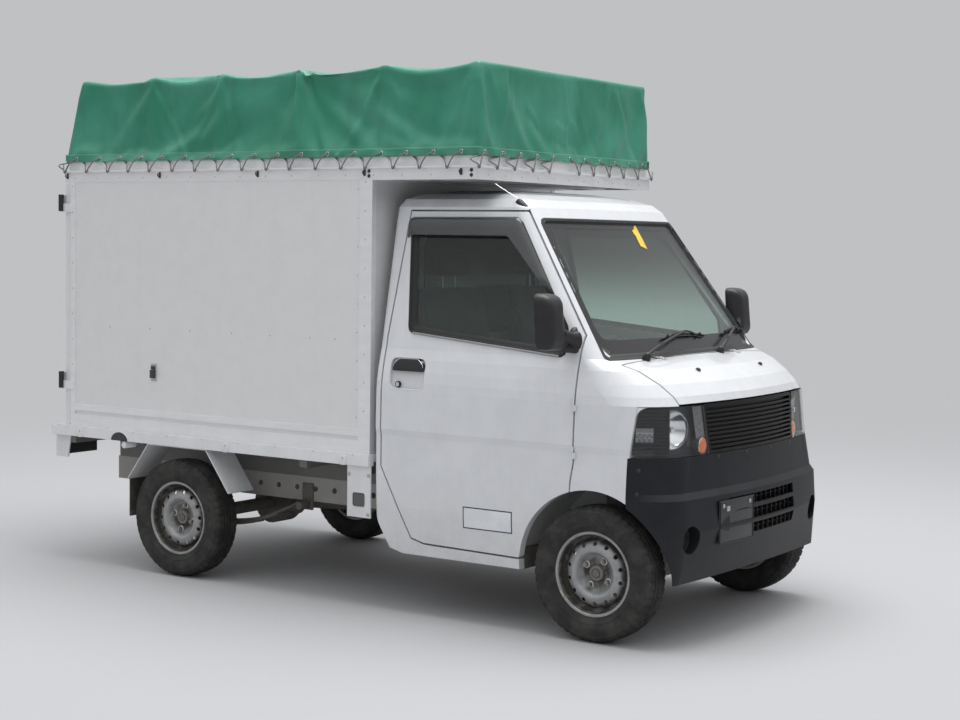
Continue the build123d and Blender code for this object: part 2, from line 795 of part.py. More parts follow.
# Bows that carry the canopy, and three purlins under them
bows = []
for place in bow_places:
    bow_outline = rectangle(-bow_half, bow_half, band_top + seat_gap, bow_high)
    bow = front_prism(bow_outline, at(place), at(place + bow_size))
    bow -= front_prism(
        rectangle(-rail_inner, rail_inner, band_top - 5, bow_high - bow_size),
        at(place - 5),
        at(place + bow_size + 5),
    )
    bows.append(bow)
purlin_top = bow_high - bow_size - seat_gap
purlin_low = purlin_top - bow_size
purlin_end = bow_places[-1] + bow_size
purlins = [
    block(at(bow_places[0]), at(purlin_end), y, y + bow_size, purlin_low, purlin_top)
    for y in (-rail_inner + seat_gap, -bow_size / 2, rail_inner - seat_gap - bow_size)
]
save("canopy_bows", *bows, *purlins)


# Canopy: a sheet over the bows, open below, with a slanting rear end
def canopy_level(rear, front, half, z, inset):
    corners = [
        (at(rear) + inset, -half + inset, z),
        (at(front) - inset, -half + inset, z),
        (at(front) - inset, half - inset, z),
        (at(rear) + inset, half - inset, z),
    ]
    return Wire(Polyline(*corners, close=True).edges())


def canopy_volume(inset):
    top = canopy_high - inset
    low = canopy_level(canopy_rear_low, canopy_front_low, canopy_half_low, canopy_low, inset)
    high = canopy_level(canopy_rear_high, canopy_front_high, canopy_half_high, top, inset)
    return Solid.make_loft([low, high], ruled=True)


canopy = canopy_volume(0) - canopy_volume(canopy_wall)
save("canopy", canopy)

# Rear doors of the box, on pins behind and outboard of its corners
rear_door_low, rear_door_high = deck_top + 6, box_top - 6
rear_door = block(
    at(box_rear), at(box_rear + rear_door_wall), rear_door_gap / 2, box_half, rear_door_low, rear_door_high
)
rear_door += block(at(box_rear - 4), at(box_rear), 60, box_half - 40, rear_door_low + 30, rear_door_low + 60)
for z in rear_hinge_heights:
    low, high = z + hinge_gap, z + 40
    rear_door += block(at(box_rear) - 4, at(box_rear), rear_axis_y - 110, box_half - 2, z - 22, z + 22)
    rear_door += block(rear_axis_x - 4, at(box_rear), rear_axis_y - 26, rear_axis_y - 14, low, high)
    rear_door += block(rear_axis_x - 4, rear_axis_x + 4, rear_axis_y - 16, rear_axis_y, low, high)
    rear_door += rod((rear_axis_x, rear_axis_y, low), (rear_axis_x, rear_axis_y, high), rear_knuckle)
rod_x = at(box_rear - 16)
rod_y = 22
rear_door += rod((rod_x, rod_y, rear_door_low + 20), (rod_x, rod_y, rear_door_high - 20), 8)
for z in (740, 1180, 1700):
    rear_door += block(at(box_rear - 18), at(box_rear), rod_y - 14, rod_y + 14, z - 16, z + 16)
save("rear_door_left", rear_door)
save("rear_door_right", other_side(rear_door))

# Rear lamps under the deck's corners
tail_lamp = block(at(deck_rear - 22), at(deck_rear - seat_gap), 480, plate_half - 2, 500, 590)
save("tail_lamps", *both(tail_lamp))

# Rear fenders: bent plates over the tyres
fender_outer = [(338, 414), (198, 599.6), (-162, 599.6), (-291, 428)]
fender_inner = [(334, 412), (196, 595.6), (-160, 595.6), (-287, 426)]
fender_outline = [(rear_axle_x + x, z) for x, z in fender_outer + fender_inner[::-1]]
rear_fender = side_prism(fender_outline, 566, deck_half - 4)
save("rear_fenders", *both(rear_fender))

# Mud flaps, front and rear: place, low, high, inner side, outer side
flaps = []
flap_rows = [
    (-liner_radius + 12, tyre_radius - 22, tyre_radius + 66, kingpin_y, deck_half - 69.5),
    (-wheelbase - 291.3, tyre_radius - 18, 440, 575, deck_half - 22.5),
]
for place, low, high, y0, y1 in flap_rows:
    flap = block(at(place - 5), at(place), y0, y1, low, high)
    flaps += both(flap)
save("mud_flaps", *flaps)


# Wheels
def ring(points):
    return revolve(Plane.XZ * make_face(Polyline(*points, close=True)), Axis.Z)


shoulder = tyre_width / 2
bead = rim_width / 2 - 1
tyre_section = [
    (bead_radius, -bead),
    (rim_flange_radius + 2, -bead),
    (rim_flange_radius + 10, -shoulder + 8),
    (tyre_radius - 55, -shoulder),
    (tyre_radius - 16, -shoulder + 7),
    (tyre_radius - 3, -shoulder + 22),
    (tyre_radius, 0),
    (tyre_radius - 3, shoulder - 22),
    (tyre_radius - 16, shoulder - 7),
    (tyre_radius - 55, shoulder),
    (rim_flange_radius + 10, shoulder - 8),
    (rim_flange_radius + 2, bead),
    (bead_radius, bead),
]
tyre_shape = ring(tyre_section)
half_rim = rim_width / 2
hub_bore = spindle_radius + bearing_gap
rim_section = [
    (hub_bore, -60),
    (82, -60),
    (82, 2),
    (96, 22),
    (112, 26),
    (128, 14),
    (138, -4),
    (138, -half_rim - 4),
    (rim_flange_radius, -half_rim - 4),
    (rim_flange_radius, -half_rim),
    (bead_radius - 0.3, -half_rim),
    (bead_radius - 0.3, half_rim),
    (rim_flange_radius, half_rim),
    (rim_flange_radius, half_rim + 4),
    (150, half_rim + 4),
    (146, 24),
    (134, 26),
    (116, 40),
    (94, 36),
    (80, 14),
    (34, 14),
    (34, 30),
    (hub_bore, 30),
]
rim_shape = ring(rim_section)
for i in range(rim_vents):
    angle = math.radians(360 / rim_vents * i)
    x, y = 126 * math.cos(angle), 126 * math.sin(angle)
    rim_shape -= rod((x, y, -2), (x, y, 60), 10)
for i in range(wheel_nuts):
    angle = math.radians(45 + 360 / wheel_nuts * i)
    x, y = nut_circle / 2 * math.cos(angle), nut_circle / 2 * math.sin(angle)
    rim_shape += rod((x, y, 10), (x, y, 32), 10)
wheel_places = [
    ("front_left", front_axle_x, 1),
    ("front_right", front_axle_x, -1),
    ("rear_left", rear_axle_x, 1),
    ("rear_right", rear_axle_x, -1),
]
for name, x, s in wheel_places:
    wheel_at = Pos(x, s * track / 2, tyre_radius) * Rot(-90 * s, 0, 0)
    save("tyre_" + name, wheel_at * tyre_shape)
    save("rim_" + name, wheel_at * rim_shape)

# Front knuckles: stub axle, steering arm and strut, turning about the kingpin
steer_arm_place, steer_arm_y = -120, 535
hub_z = tyre_radius
knuckle = block(at(-38), at(38), 500, 556, hub_z - 63, hub_z + 77)
knuckle += rod((at(0), kingpin_y, hub_z - 72), (at(0), kingpin_y, hub_z - 28), 15)
knuckle += block(at(-15), at(15), 540, kingpin_y, hub_z - 63, hub_z - 28)
knuckle += rod((at(0), 540, hub_z), (at(0), track / 2 + 26, hub_z), spindle_radius)
knuckle += rod((at(0), 522, hub_z + 62), (at(0), 522, hub_z + 152), 22)
knuckle += rod((at(0), 522, hub_z + 147), (at(0), 522, hub_z + 157), 50)
knuckle += rod((at(0), 522, hub_z + 152), (at(0), 522, hub_z + 307), 40)
steer_arm = [(at(-30), 505), (at(-30), 545), (at(-132), 547), (at(-132), 523)]
knuckle += plan_prism(steer_arm, hub_z - 36, hub_z - 18, 6)
save("knuckle_left", knuckle)
save("knuckle_right", other_side(knuckle))

# Tie rod under the steering arms, with its two eyes
tie_z = hub_z - 36.5
tie_x = at(steer_arm_place)
tie_rod = cross_rod(tie_x, tie_z - 12, 9, -steer_arm_y, steer_arm_y)
for y in (steer_arm_y, -steer_arm_y):
    tie_rod += rod((tie_x, y, tie_z - 24), (tie_x, y, tie_z), 13)
save("tie_rod", tie_rod)

# Front cross member, lower arms and rack housing
suspension = block(at(-55), at(55), -340, 340, hub_z - 72, hub_z - 6)
for s in (1, -1):
    y0, y1 = sorted((s * 300, s * 372))
    suspension += block(at(-50), at(50), y0, y1, hub_z - 68, rail_low - 0.3)
    arm = plan_prism(
        [(at(-90), s * 330), (at(90), s * 330), (at(20), s * kingpin_y), (at(-20), s * kingpin_y)],
        hub_z - 96,
        hub_z - 78,
    )
    suspension += arm
    suspension += rod((at(0), s * kingpin_y, hub_z - 100), (at(0), s * kingpin_y, hub_z - 72.5), 18)
    suspension += block(at(-88), at(88), *sorted((s * 300, s * 345)), hub_z - 96, hub_z - 63)
suspension += cross_rod(at(steer_arm_place), tie_z - 12, 22, -240, 240)
suspension -= cross_rod(at(steer_arm_place), tie_z - 12, 9 + bearing_gap, -260, 260)
for y in (-200, 160):
    suspension += block(at(steer_arm_place), at(-40), y, y + 40, hub_z - 38, hub_z - 18)
suspension -= cross_rod(at(steer_arm_place), tie_z - 12, 9 + bearing_gap, -260, 260)
save("front_suspension", suspension)

# Radiator behind the bumper's intake, on the frame rails
radiator = block(at(222), at(256), -330, 330, 330, 590)
radiator += block(at(222), at(236), -rail_y - 20, rail_y + 20, rail_high + seat_gap, rail_high + 30)
save("radiator", radiator)

# Engine as one plain block, gearbox and propeller shaft
engine = block(at(-760), at(-380), -190, 190, 250, 600)
for s in (1, -1):
    y0, y1 = sorted((s * 185, s * (rail_y - rail_width / 2 - 0.3)))
    engine += block(at(-620), at(-560), y0, y1, 380, 430)
gearbox_big = Plane(origin=(at(-759), 0, 345), z_dir=(-1, 0, 0)) * Rectangle(150, 250)
gearbox_small = Plane(origin=(at(-1120), 0, 330), z_dir=(-1, 0, 0)) * Rectangle(90, 110)
engine += loft([gearbox_big, gearbox_small])
shaft_end = (at(-wheelbase + 130), 0, tyre_radius + 8)
engine += rod((at(-1100), 0, 328), shaft_end, 26)
save("engine_and_gearbox", engine)

# Rear axle with its differential, and the leaf springs under it
spring_y = 430
rear_axle = cross_rod(at(-wheelbase), tyre_radius, 30, -565, 565)
for s in (1, -1):
    y0, y1 = sorted((s * 560, s * (track / 2 + 26)))
    rear_axle += cross_rod(at(-wheelbase), tyre_radius, spindle_radius, y0, y1)
    y0, y1 = sorted((s * (spring_y - 30), s * (spring_y + 30)))
    rear_axle += block(at(-wheelbase - 45), at(-wheelbase + 45), y0, y1, hub_z - 30.7, hub_z - 6)
rear_axle += rod((at(-wheelbase - 70), 0, tyre_radius), (at(-wheelbase + 129), 0, tyre_radius + 8), 58)
rear_axle += cross_rod(at(-wheelbase), tyre_radius, 100, -60, 60)
save("rear_axle", rear_axle)

leaf_radius = 1060
leaf_wall = 8
leaf_low = hub_z - 56
leaf_eye_z = leaf_low + 133
leaf_lengths = (505, 380, 260)
springs = []
for s in (1, -1):
    y0, y1 = sorted((s * (spring_y - 26), s * (spring_y + 26)))
    pack = None
    for i, reach in enumerate(leaf_lengths):
        centre_z = leaf_low + leaf_wall * 2 + leaf_radius
        inner = leaf_radius + i * leaf_wall - (leaf_wall if i == 0 else leaf_wall + 1)
        leaf = cross_rod(at(-wheelbase), centre_z, leaf_radius + i * leaf_wall, y0, y1)
        leaf -= cross_rod(at(-wheelbase), centre_z, inner, y0 - 5, y1 + 5)
        leaf &= block(at(-wheelbase - reach), at(-wheelbase + reach), y0, y1, 150, 500)
        pack = leaf if pack is None else pack + leaf
    for end in (-1, 1):
        x = at(-wheelbase + end * (leaf_lengths[0] + 4))
        pack += cross_rod(x, leaf_eye_z, 18, y0, y1)
        rail_side = rail_y + rail_width / 2 + 0.3
        pack += cross_rod(x, leaf_eye_z, 12, *sorted((s * rail_side, s * (spring_y - 20))))
        hanger_sides = sorted((s * rail_side, s * (rail_side + 7.7)))
        pack += block(x - 30, x + 30, *hanger_sides, leaf_eye_z - 25, 440)
    springs.append(pack)
save("leaf_springs", *springs)

# Exhaust and fuel tank
exhaust = rod((at(-1740), 185, 330), (at(-1400), 185, 330), 72)
exhaust += rod((at(-1410), 185, 330), (at(-800), 215, 300), 19)
exhaust += rod((at(-1730), 200, 348), (at(box_rear + 25), 215, 348), 19)
hanger_top = rail_high - 60.3
exhaust += block(at(-1345), at(-1315), 175, 195, 340, hanger_top)
exhaust += rod((at(-1420), 185, 350), (at(-1330), 185, 350), 10)
exhaust += block(at(-wheelbase - 310), at(-wheelbase - 290), 205, 222, 350, hanger_top)
save("exhaust", exhaust)
tank = side_prism(placed(rectangle(-1650, -1210, 300, sill_low - seat_gap)), 420, 655, 30)
save("fuel_tank", tank)

os.makedirs("parts", exist_ok=True)
for name, shape in nodes.items():
    export_step(shape, "parts/" + name + ".step")
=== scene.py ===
import json
import math
import random

import bmesh
import bpy
from mathutils import Matrix, Vector, noise
from mathutils.bvhtree import BVHTree


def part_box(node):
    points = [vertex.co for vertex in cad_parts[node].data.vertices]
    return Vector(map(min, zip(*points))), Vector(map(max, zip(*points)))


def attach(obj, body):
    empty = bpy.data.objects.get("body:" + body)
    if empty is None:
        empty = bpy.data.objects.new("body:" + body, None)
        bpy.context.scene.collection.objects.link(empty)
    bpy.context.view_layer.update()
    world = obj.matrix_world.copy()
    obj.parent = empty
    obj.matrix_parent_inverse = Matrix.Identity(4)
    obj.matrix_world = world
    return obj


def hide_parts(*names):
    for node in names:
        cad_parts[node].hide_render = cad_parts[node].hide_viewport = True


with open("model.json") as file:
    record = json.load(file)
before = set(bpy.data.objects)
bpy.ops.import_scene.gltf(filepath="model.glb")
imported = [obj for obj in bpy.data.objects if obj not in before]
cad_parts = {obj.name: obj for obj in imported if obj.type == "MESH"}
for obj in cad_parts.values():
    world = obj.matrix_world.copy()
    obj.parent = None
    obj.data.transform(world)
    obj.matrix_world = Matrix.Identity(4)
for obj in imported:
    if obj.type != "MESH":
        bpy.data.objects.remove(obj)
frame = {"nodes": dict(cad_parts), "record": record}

scene = bpy.context.scene
scene.view_settings.view_transform = "Standard"
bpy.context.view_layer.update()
print("frame loaded")

# The truck's own measures, in metres. X forward, Y left, Z up.
truck = {
    "frontAxle": 1.2975,
    "wheelbase": 2.2,
    "trackHalf": 0.65,
    "tyreRadius": 0.268,
}

# Where rays start: ahead of the nose, beside the truck, and above the bonnet
rayStart = {"nose": 2.4, "side": 1.2, "bonnet": 2.0}

# Each side's sign in Y and its name
bothSides = ((1, "left"), (-1, "right"))


def fromAxle(millimetres):
    return truck["frontAxle"] + millimetres / 1000


def axlePoint(x, y, z):
    # x in millimetres from the front axle, y and z in metres
    return Vector((fromAxle(x), y, z))


def metres(values):
    return [value / 1000 for value in values]


# Mesh making. Each helper adds to one bmesh, and addPiece turns that into a piece.
def newShape():
    return bmesh.new()


def addPoly(shape, points, slot=0):
    face = shape.faces.new([shape.verts.new(p) for p in points])
    face.material_index = slot
    return face


def addGrid(shape, rows, slot=0, closed=False):
    ring = [[shape.verts.new(p) for p in row] for row in rows]
    for a, b in zip(ring, ring[1:]):
        count = len(a) if closed else len(a) - 1
        for i in range(count):
            j = (i + 1) % len(a)
            face = shape.faces.new((a[i], a[j], b[j], b[i]))
            face.material_index = slot
    return ring


def addBox(shape, low, high, bevel=0.0, slot=0, place=None):
    low, high = Vector(low), Vector(high)
    made = bmesh.ops.create_cube(shape, size=1.0)["verts"]
    for vert in made:
        vert.co = Vector((low[i] + (vert.co[i] + 0.5) * (high[i] - low[i]) for i in range(3)))
    faces = {face for vert in made for face in vert.link_faces}
    for face in faces:
        face.material_index = slot
    if bevel:
        edges = list({edge for face in faces for edge in face.edges})
        cut = bmesh.ops.bevel(
            shape, geom=edges, offset=bevel, segments=2, profile=0.7, affect="EDGES", material=slot
        )
        made = list(
            {vert for face in cut["faces"] for vert in face.verts} | {v for v in made if v.is_valid}
        )
    if place:
        for vert in made:
            vert.co = place @ vert.co
    return made


def framesAlong(points):
    # A turning frame carried along a path without twisting
    points = [Vector(p) for p in points]
    tangents = []
    for i in range(len(points)):
        tangents.append((points[min(i + 1, len(points) - 1)] - points[max(i - 1, 0)]).normalized())
    side = tangents[0].orthogonal().normalized()
    frames = []
    for point, tangent in zip(points, tangents):
        side = (side - tangent * side.dot(tangent)).normalized()
        frames.append((point, side, tangent.cross(side)))
    return frames


def addTube(shape, points, radius, sides=8, slot=0, caps=True, closed=False):
    rows = []
    frames = framesAlong(points)
    radii = radius if isinstance(radius, (list, tuple)) else [radius] * len(frames)
    for (point, side, up), r in zip(frames, radii):
        turns = [2 * math.pi * k / sides for k in range(sides)]
        rows.append([point + side * (math.cos(t) * r) + up * (math.sin(t) * r) for t in turns])
    if closed:
        rows.append(rows[0])
    ring = addGrid(shape, rows, slot, closed=True)
    if caps and not closed:
        for end in (ring[0], list(reversed(ring[-1]))):
            face = shape.faces.new(list(reversed(end)))
            face.material_index = slot
    return ring


def addLathe(shape, profile, segments=48, place=None, slot=0, slots=None):
    # profile holds (radius, height) pairs, turned round the local Z axis
    place = place or Matrix.Identity(4)
    rows = []
    for k in range(segments):
        t = 2 * math.pi * k / segments
        rows.append([place @ Vector((r * math.cos(t), r * math.sin(t), h)) for r, h in profile])
    ring = [[shape.verts.new(p) for p in row] for row in rows]
    for k in range(segments):
        a, b = ring[k], ring[(k + 1) % segments]
        for i in range(len(profile) - 1):
            corners = [a[i], b[i], b[i + 1], a[i + 1]]
            if profile[i][0] < 1e-7:
                corners = [a[i], b[i + 1], a[i + 1]]
            elif profile[i + 1][0] < 1e-7:
                corners = [a[i], b[i], a[i + 1]]
            face = shape.faces.new(corners)
            face.material_index = slots[i] if slots else slot
    return ring


def addPrism(shape, outline, place, depth, slot=0, bevel=0.0):
    # outline holds (x, y) pairs in the local plane, drawn out along local Z
    low = [shape.verts.new(place @ Vector((x, y, 0))) for x, y in outline]
    high = [shape.verts.new(place @ Vector((x, y, depth))) for x, y in outline]
    faces = [shape.faces.new(list(reversed(low))), shape.faces.new(high)]
    for i in range(len(outline)):
        j = (i + 1) % len(outline)
        faces.append(shape.faces.new((low[i], low[j], high[j], high[i])))
    for face in faces:
        face.material_index = slot
    if bevel:
        edges = list({edge for face in faces for edge in face.edges})
        bmesh.ops.bevel(
            shape, geom=edges, offset=bevel, segments=2, profile=0.7, affect="EDGES", material=slot
        )


def roundedOutline(points, radius, steps=5):
    # The outline with each corner turned into an arc
    rounded = []
    count = len(points)
    radii = radius if isinstance(radius, (list, tuple)) else [radius] * count
    for i, corner in enumerate(points):
        here = Vector(corner)
        before = (Vector(points[i - 1]) - here).normalized()
        after = (Vector(points[(i + 1) % count]) - here).normalized()
        half = before.angle(after) / 2
        reach = radii[i] / math.tan(half)
        start, end = here + before * reach, here + after * reach
        for k in range(steps + 1):
            t = k / steps
            rounded.append(
                tuple((start * (1 - t) + here * t) * (1 - t) + (here * (1 - t) + end * t) * t)
            )
    return rounded


def closeFan(shape, ring, point, slot=0):
    # Closes an open end with triangles that meet in one point
    tip = shape.verts.new(point)
    for i in range(len(ring)):
        face = shape.faces.new((ring[i], ring[(i + 1) % len(ring)], tip))
        face.material_index = slot


def fourCorners(x0, x1, y0, y1):
    return [Vector((x0, y0)), Vector((x1, y0)), Vector((x1, y1)), Vector((x0, y1))]


def circlePoints(radius, count, turn=0.0):
    return [
        (
            radius * math.cos(2 * math.pi * k / count + turn),
            radius * math.sin(2 * math.pi * k / count + turn)
        )
        for k in range(count)
    ]


def turned(place, degrees, axis):
    return Matrix.Translation(place) @ Matrix.Rotation(math.radians(degrees), 4, axis)


def aimed(place, direction, twist=0.0):
    turn = Vector(direction).to_track_quat("Z", "Y").to_matrix().to_4x4()
    return Matrix.Translation(place) @ turn @ Matrix.Rotation(twist, 4, "Z")


def addPiece(shape, name, body, materials, smooth=35, merge=1e-5):
    if merge:
        bmesh.ops.remove_doubles(shape, verts=list(shape.verts), dist=merge)
    bmesh.ops.recalc_face_normals(shape, faces=list(shape.faces))
    mesh = bpy.data.meshes.new(name)
    shape.to_mesh(mesh)
    shape.free()
    piece = bpy.data.objects.new(name, mesh)
    scene.collection.objects.link(piece)
    for label in [materials] if isinstance(materials, str) else materials:
        mesh.materials.append(finish[label])
    if smooth:
        mesh.shade_smooth()
        mesh.set_sharp_from_angle(angle=math.radians(smooth))
    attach(piece, body)
    return piece


surfaces = {}


def meshSurface(mesh):
    return BVHTree.FromPolygons(
        [v.co for v in mesh.vertices], [tuple(p.vertices) for p in mesh.polygons]
    )


def surfaceOf(node):
    if node not in surfaces:
        surfaces[node] = meshSurface(frame["nodes"][node].data)
    return surfaces[node]


def landing(node, start, direction):
    # Where a ray from start first meets the node, and the surface's normal there
    place, normal, _, _ = surfaceOf(node).ray_cast(Vector(start), Vector(direction).normalized())
    if place is None:
        return None, None
    if normal.dot(Vector(direction)) > 0:
        normal = -normal
    return place, normal


print("mesh helpers ready")


# Shader helpers
def addNode(tree, kind, inputs=None, **settings):
    made = tree.nodes.new("ShaderNode" + kind)
    for key, value in settings.items():
        setattr(made, key, value)
    for key, value in (inputs or {}).items():
        if isinstance(value, bpy.types.NodeSocket):
            tree.links.new(value, made.inputs[key])
        else:
            made.inputs[key].default_value = value
    return made


def maths(tree, operation, a, b=0.5, clamp=False):
    return addNode(tree, "Math", {0: a, 1: b}, operation=operation, use_clamp=clamp).outputs[0]


def spreadRange(tree, value, low, high, start=0.0, end=1.0):
    inputs = {"Value": value, "From Min": low, "From Max": high, "To Min": start, "To Max": end}
    return addNode(tree, "MapRange", inputs, interpolation_type="SMOOTHSTEP").outputs["Result"]


def mixColour(tree, share, a, b, blend="MIX"):
    made = addNode(tree, "Mix", {"Factor": share}, data_type="RGBA", blend_type=blend)
    for socket, value in ((made.inputs[6], a), (made.inputs[7], b)):
        if isinstance(value, bpy.types.NodeSocket):
            tree.links.new(value, socket)
        else:
            socket.default_value = value
    return made.outputs[2]


def shadedColour(tree, base, shade):
    grey = addNode(tree, "CombineColor", {0: shade, 1: shade, 2: shade}).outputs[0]
    return mixColour(tree, 1.0, base, grey, "MULTIPLY")


def newGroup(name, inputs, outputs):
    tree = bpy.data.node_groups.new(name, "ShaderNodeTree")
    for label, value in inputs.items():
        kind = "NodeSocketVector" if isinstance(value, tuple) else "NodeSocketFloat"
        socket = tree.interface.new_socket(name=label, in_out="INPUT", socket_type=kind)
        socket.default_value = value
    for label, kind in outputs.items():
        tree.interface.new_socket(name=label, in_out="OUTPUT", socket_type="NodeSocket" + kind)
    return tree, tree.nodes.new("NodeGroupInput").outputs, tree.nodes.new("NodeGroupOutput").inputs


def useGroup(tree, group, **inputs):
    made = tree.nodes.new("ShaderNodeGroup")
    made.node_tree = group
    for key, value in inputs.items():
        if isinstance(value, bpy.types.NodeSocket):
            tree.links.new(value, made.inputs[key])
        else:
            made.inputs[key].default_value = value
    return made.outputs


# Shared effects
def makeGrainGroup():
    # Fine moulded or sprayed texture: an even noise at one scale with a slower one over it
    tree, given, out = newGroup(
        "mouldedGrain", {"Scale": 400.0, "Stretch": (1.0, 1.0, 1.0), "Slow": 12.0},
        {"Height": "Float", "Patches": "Float"}
    )
    place = addNode(tree, "TexCoord").outputs["Object"]
    stretched = addNode(
        tree, "VectorMath", {0: place, 1: given["Stretch"]}, operation="MULTIPLY"
    ).outputs[0]
    fine = addNode(
        tree, "TexNoise",
        {"Vector": stretched, "Scale": given["Scale"], "Detail": 3.0, "Roughness": 0.6}
    )
    slow = addNode(
        tree, "TexNoise",
        {"Vector": stretched, "Scale": given["Slow"], "Detail": 4.0, "Roughness": 0.55}
    )
    tree.links.new(fine.outputs["Fac"], out["Height"])
    tree.links.new(slow.outputs["Fac"], out["Patches"])
    return tree


def makeDustGroup():
    # Road dust: thick near the ground, thin above, and a little on upward faces
    inputs = {"Low": 0.2, "High": 0.8, "Amount": 0.5, "Top": 0.2, "Scale": 6.0}
    tree, given, out = newGroup("roadDust", inputs, {"Mask": "Float"})
    coords = addNode(tree, "TexCoord")
    height = addNode(tree, "SeparateXYZ", {0: coords.outputs["Object"]}).outputs["Z"]
    facing = addNode(tree, "SeparateXYZ", {0: coords.outputs["Normal"]}).outputs["Z"]
    low = spreadRange(tree, height, given["Low"], given["High"], 1.0, 0.0)
    top = maths(tree, "MULTIPLY", spreadRange(tree, facing, 0.3, 1.0), given["Top"])
    cloud = addNode(
        tree, "TexNoise",
        {"Vector": coords.outputs["Object"], "Scale": given["Scale"], "Detail": 6.0, "Roughness": 0.65}
    )
    speck = addNode(
        tree, "TexNoise", {"Vector": coords.outputs["Object"], "Scale": 90.0, "Detail": 2.0}
    )
    both = maths(tree, "ADD", maths(tree, "MULTIPLY", low, given["Amount"]), top)
    rough = maths(
        tree, "MULTIPLY", spreadRange(tree, cloud.outputs["Fac"], 0.3, 0.7, 0.45, 1.25),
        spreadRange(tree, speck.outputs["Fac"], 0.3, 0.7, 0.8, 1.1)
    )
    tree.links.new(maths(tree, "MULTIPLY", both, rough, clamp=True), out["Mask"])
    return tree


def makeEdgeGroup():
    # Softened corners, and a mask of where they would rub bare
    tree, given, out = newGroup(
        "edgeWear", {"Radius": 0.002, "Amount": 0.5, "Scale": 60.0},
        {"Mask": "Float", "Normal": "Vector"}
    )
    soft = addNode(tree, "Bevel", {"Radius": given["Radius"]}, samples=4).outputs["Normal"]
    plain = addNode(tree, "NewGeometry").outputs["Normal"]
    turn = addNode(tree, "VectorMath", {0: soft, 1: plain}, operation="DOT_PRODUCT").outputs["Value"]
    edge = spreadRange(tree, turn, 0.99, 0.8)
    broken = addNode(
        tree, "TexNoise",
        {"Vector": addNode(tree, "TexCoord").outputs["Object"], "Scale": given["Scale"], "Detail": 5.0}
    )
    worn = maths(tree, "MULTIPLY", edge, spreadRange(tree, broken.outputs["Fac"], 0.42, 0.62))
    tree.links.new(maths(tree, "MULTIPLY", worn, given["Amount"], clamp=True), out["Mask"])
    tree.links.new(soft, out["Normal"])
    return tree


def makeStreakGroup():
    # Rain runs and smears: long in Z, narrow across
    tree, given, out = newGroup(
        "rainStreaks", {"Width": 30.0, "Length": 1.2, "Amount": 0.4}, {"Mask": "Float"}
    )
    place = addNode(tree, "SeparateXYZ", {0: addNode(tree, "TexCoord").outputs["Object"]}).outputs
    across = maths(tree, "MULTIPLY", maths(tree, "ADD", place["X"], place["Y"]), given["Width"])
    down = maths(tree, "MULTIPLY", place["Z"], given["Length"])
    where = addNode(tree, "CombineXYZ", {"X": across, "Y": down, "Z": 0.0}).outputs[0]
    runs = addNode(tree, "TexNoise", {"Vector": where, "Scale": 1.0, "Detail": 4.0, "Roughness": 0.6})
    tree.links.new(
        maths(
            tree, "MULTIPLY", spreadRange(tree, runs.outputs["Fac"], 0.5, 0.75), given["Amount"],
            clamp=True
        ),
        out["Mask"]
    )
    return tree


def makeWeaveGroup():
    # Two crossing sets of threads, laid out on the three main planes by the way the face looks
    tree, given, out = newGroup("wovenThreads", {"Pitch": 0.0012, "Depth": 1.0}, {"Height": "Float"})
    coords = addNode(tree, "TexCoord")
    place = addNode(tree, "SeparateXYZ", {0: coords.outputs["Object"]}).outputs
    facing = addNode(tree, "SeparateXYZ", {0: coords.outputs["Normal"]}).outputs
    flatTop = maths(tree, "GREATER_THAN", maths(tree, "ABSOLUTE", facing["Z"]), 0.6)
    flatEnd = maths(tree, "GREATER_THAN", maths(tree, "ABSOLUTE", facing["X"]), 0.7)
    along = addNode(tree, "Mix", {"Factor": flatEnd, "A": place["X"], "B": place["Y"]}).outputs[0]
    up = addNode(tree, "Mix", {"Factor": flatTop, "A": place["Z"], "B": place["Y"]}).outputs[0]
    turns = maths(tree, "DIVIDE", 2 * math.pi, given["Pitch"])
    warp = maths(tree, "SINE", maths(tree, "MULTIPLY", along, turns))
    weft = maths(tree, "SINE", maths(tree, "MULTIPLY", up, turns))
    crossing = maths(tree, "MULTIPLY", maths(tree, "ADD", warp, weft), given["Depth"])
    tree.links.new(maths(tree, "MULTIPLY", crossing, 0.25), out["Height"])
    return tree


mouldedGrain = makeGrainGroup()
roadDust = makeDustGroup()
edgeWear = makeEdgeGroup()
rainStreaks = makeStreakGroup()
wovenThreads = makeWeaveGroup()
print("shared effects built")


def startMaterial(name, **plain):
    material = bpy.data.materials.new(name)
    material.use_nodes = True
    tree = material.node_tree
    tree.nodes.clear()
    shader = addNode(tree, "BsdfPrincipled")
    tree.links.new(shader.outputs[0], addNode(tree, "OutputMaterial").inputs["Surface"])
    for key, value in plain.items():
        shader.inputs[key.replace("_", " ")].default_value = value
    return material, tree, shader.inputs


def colour(red, green, blue):
    return (red, green, blue, 1.0)


def setBump(tree, shader, height, distance, strength=1.0, normal=None):
    inputs = {"Height": height, "Distance": distance, "Strength": strength}
    if normal is not None:
        inputs["Normal"] = normal
    bump = addNode(tree, "Bump", inputs)
    tree.links.new(bump.outputs["Normal"], shader["Normal"])


dustColour = colour(0.30, 0.275, 0.24)

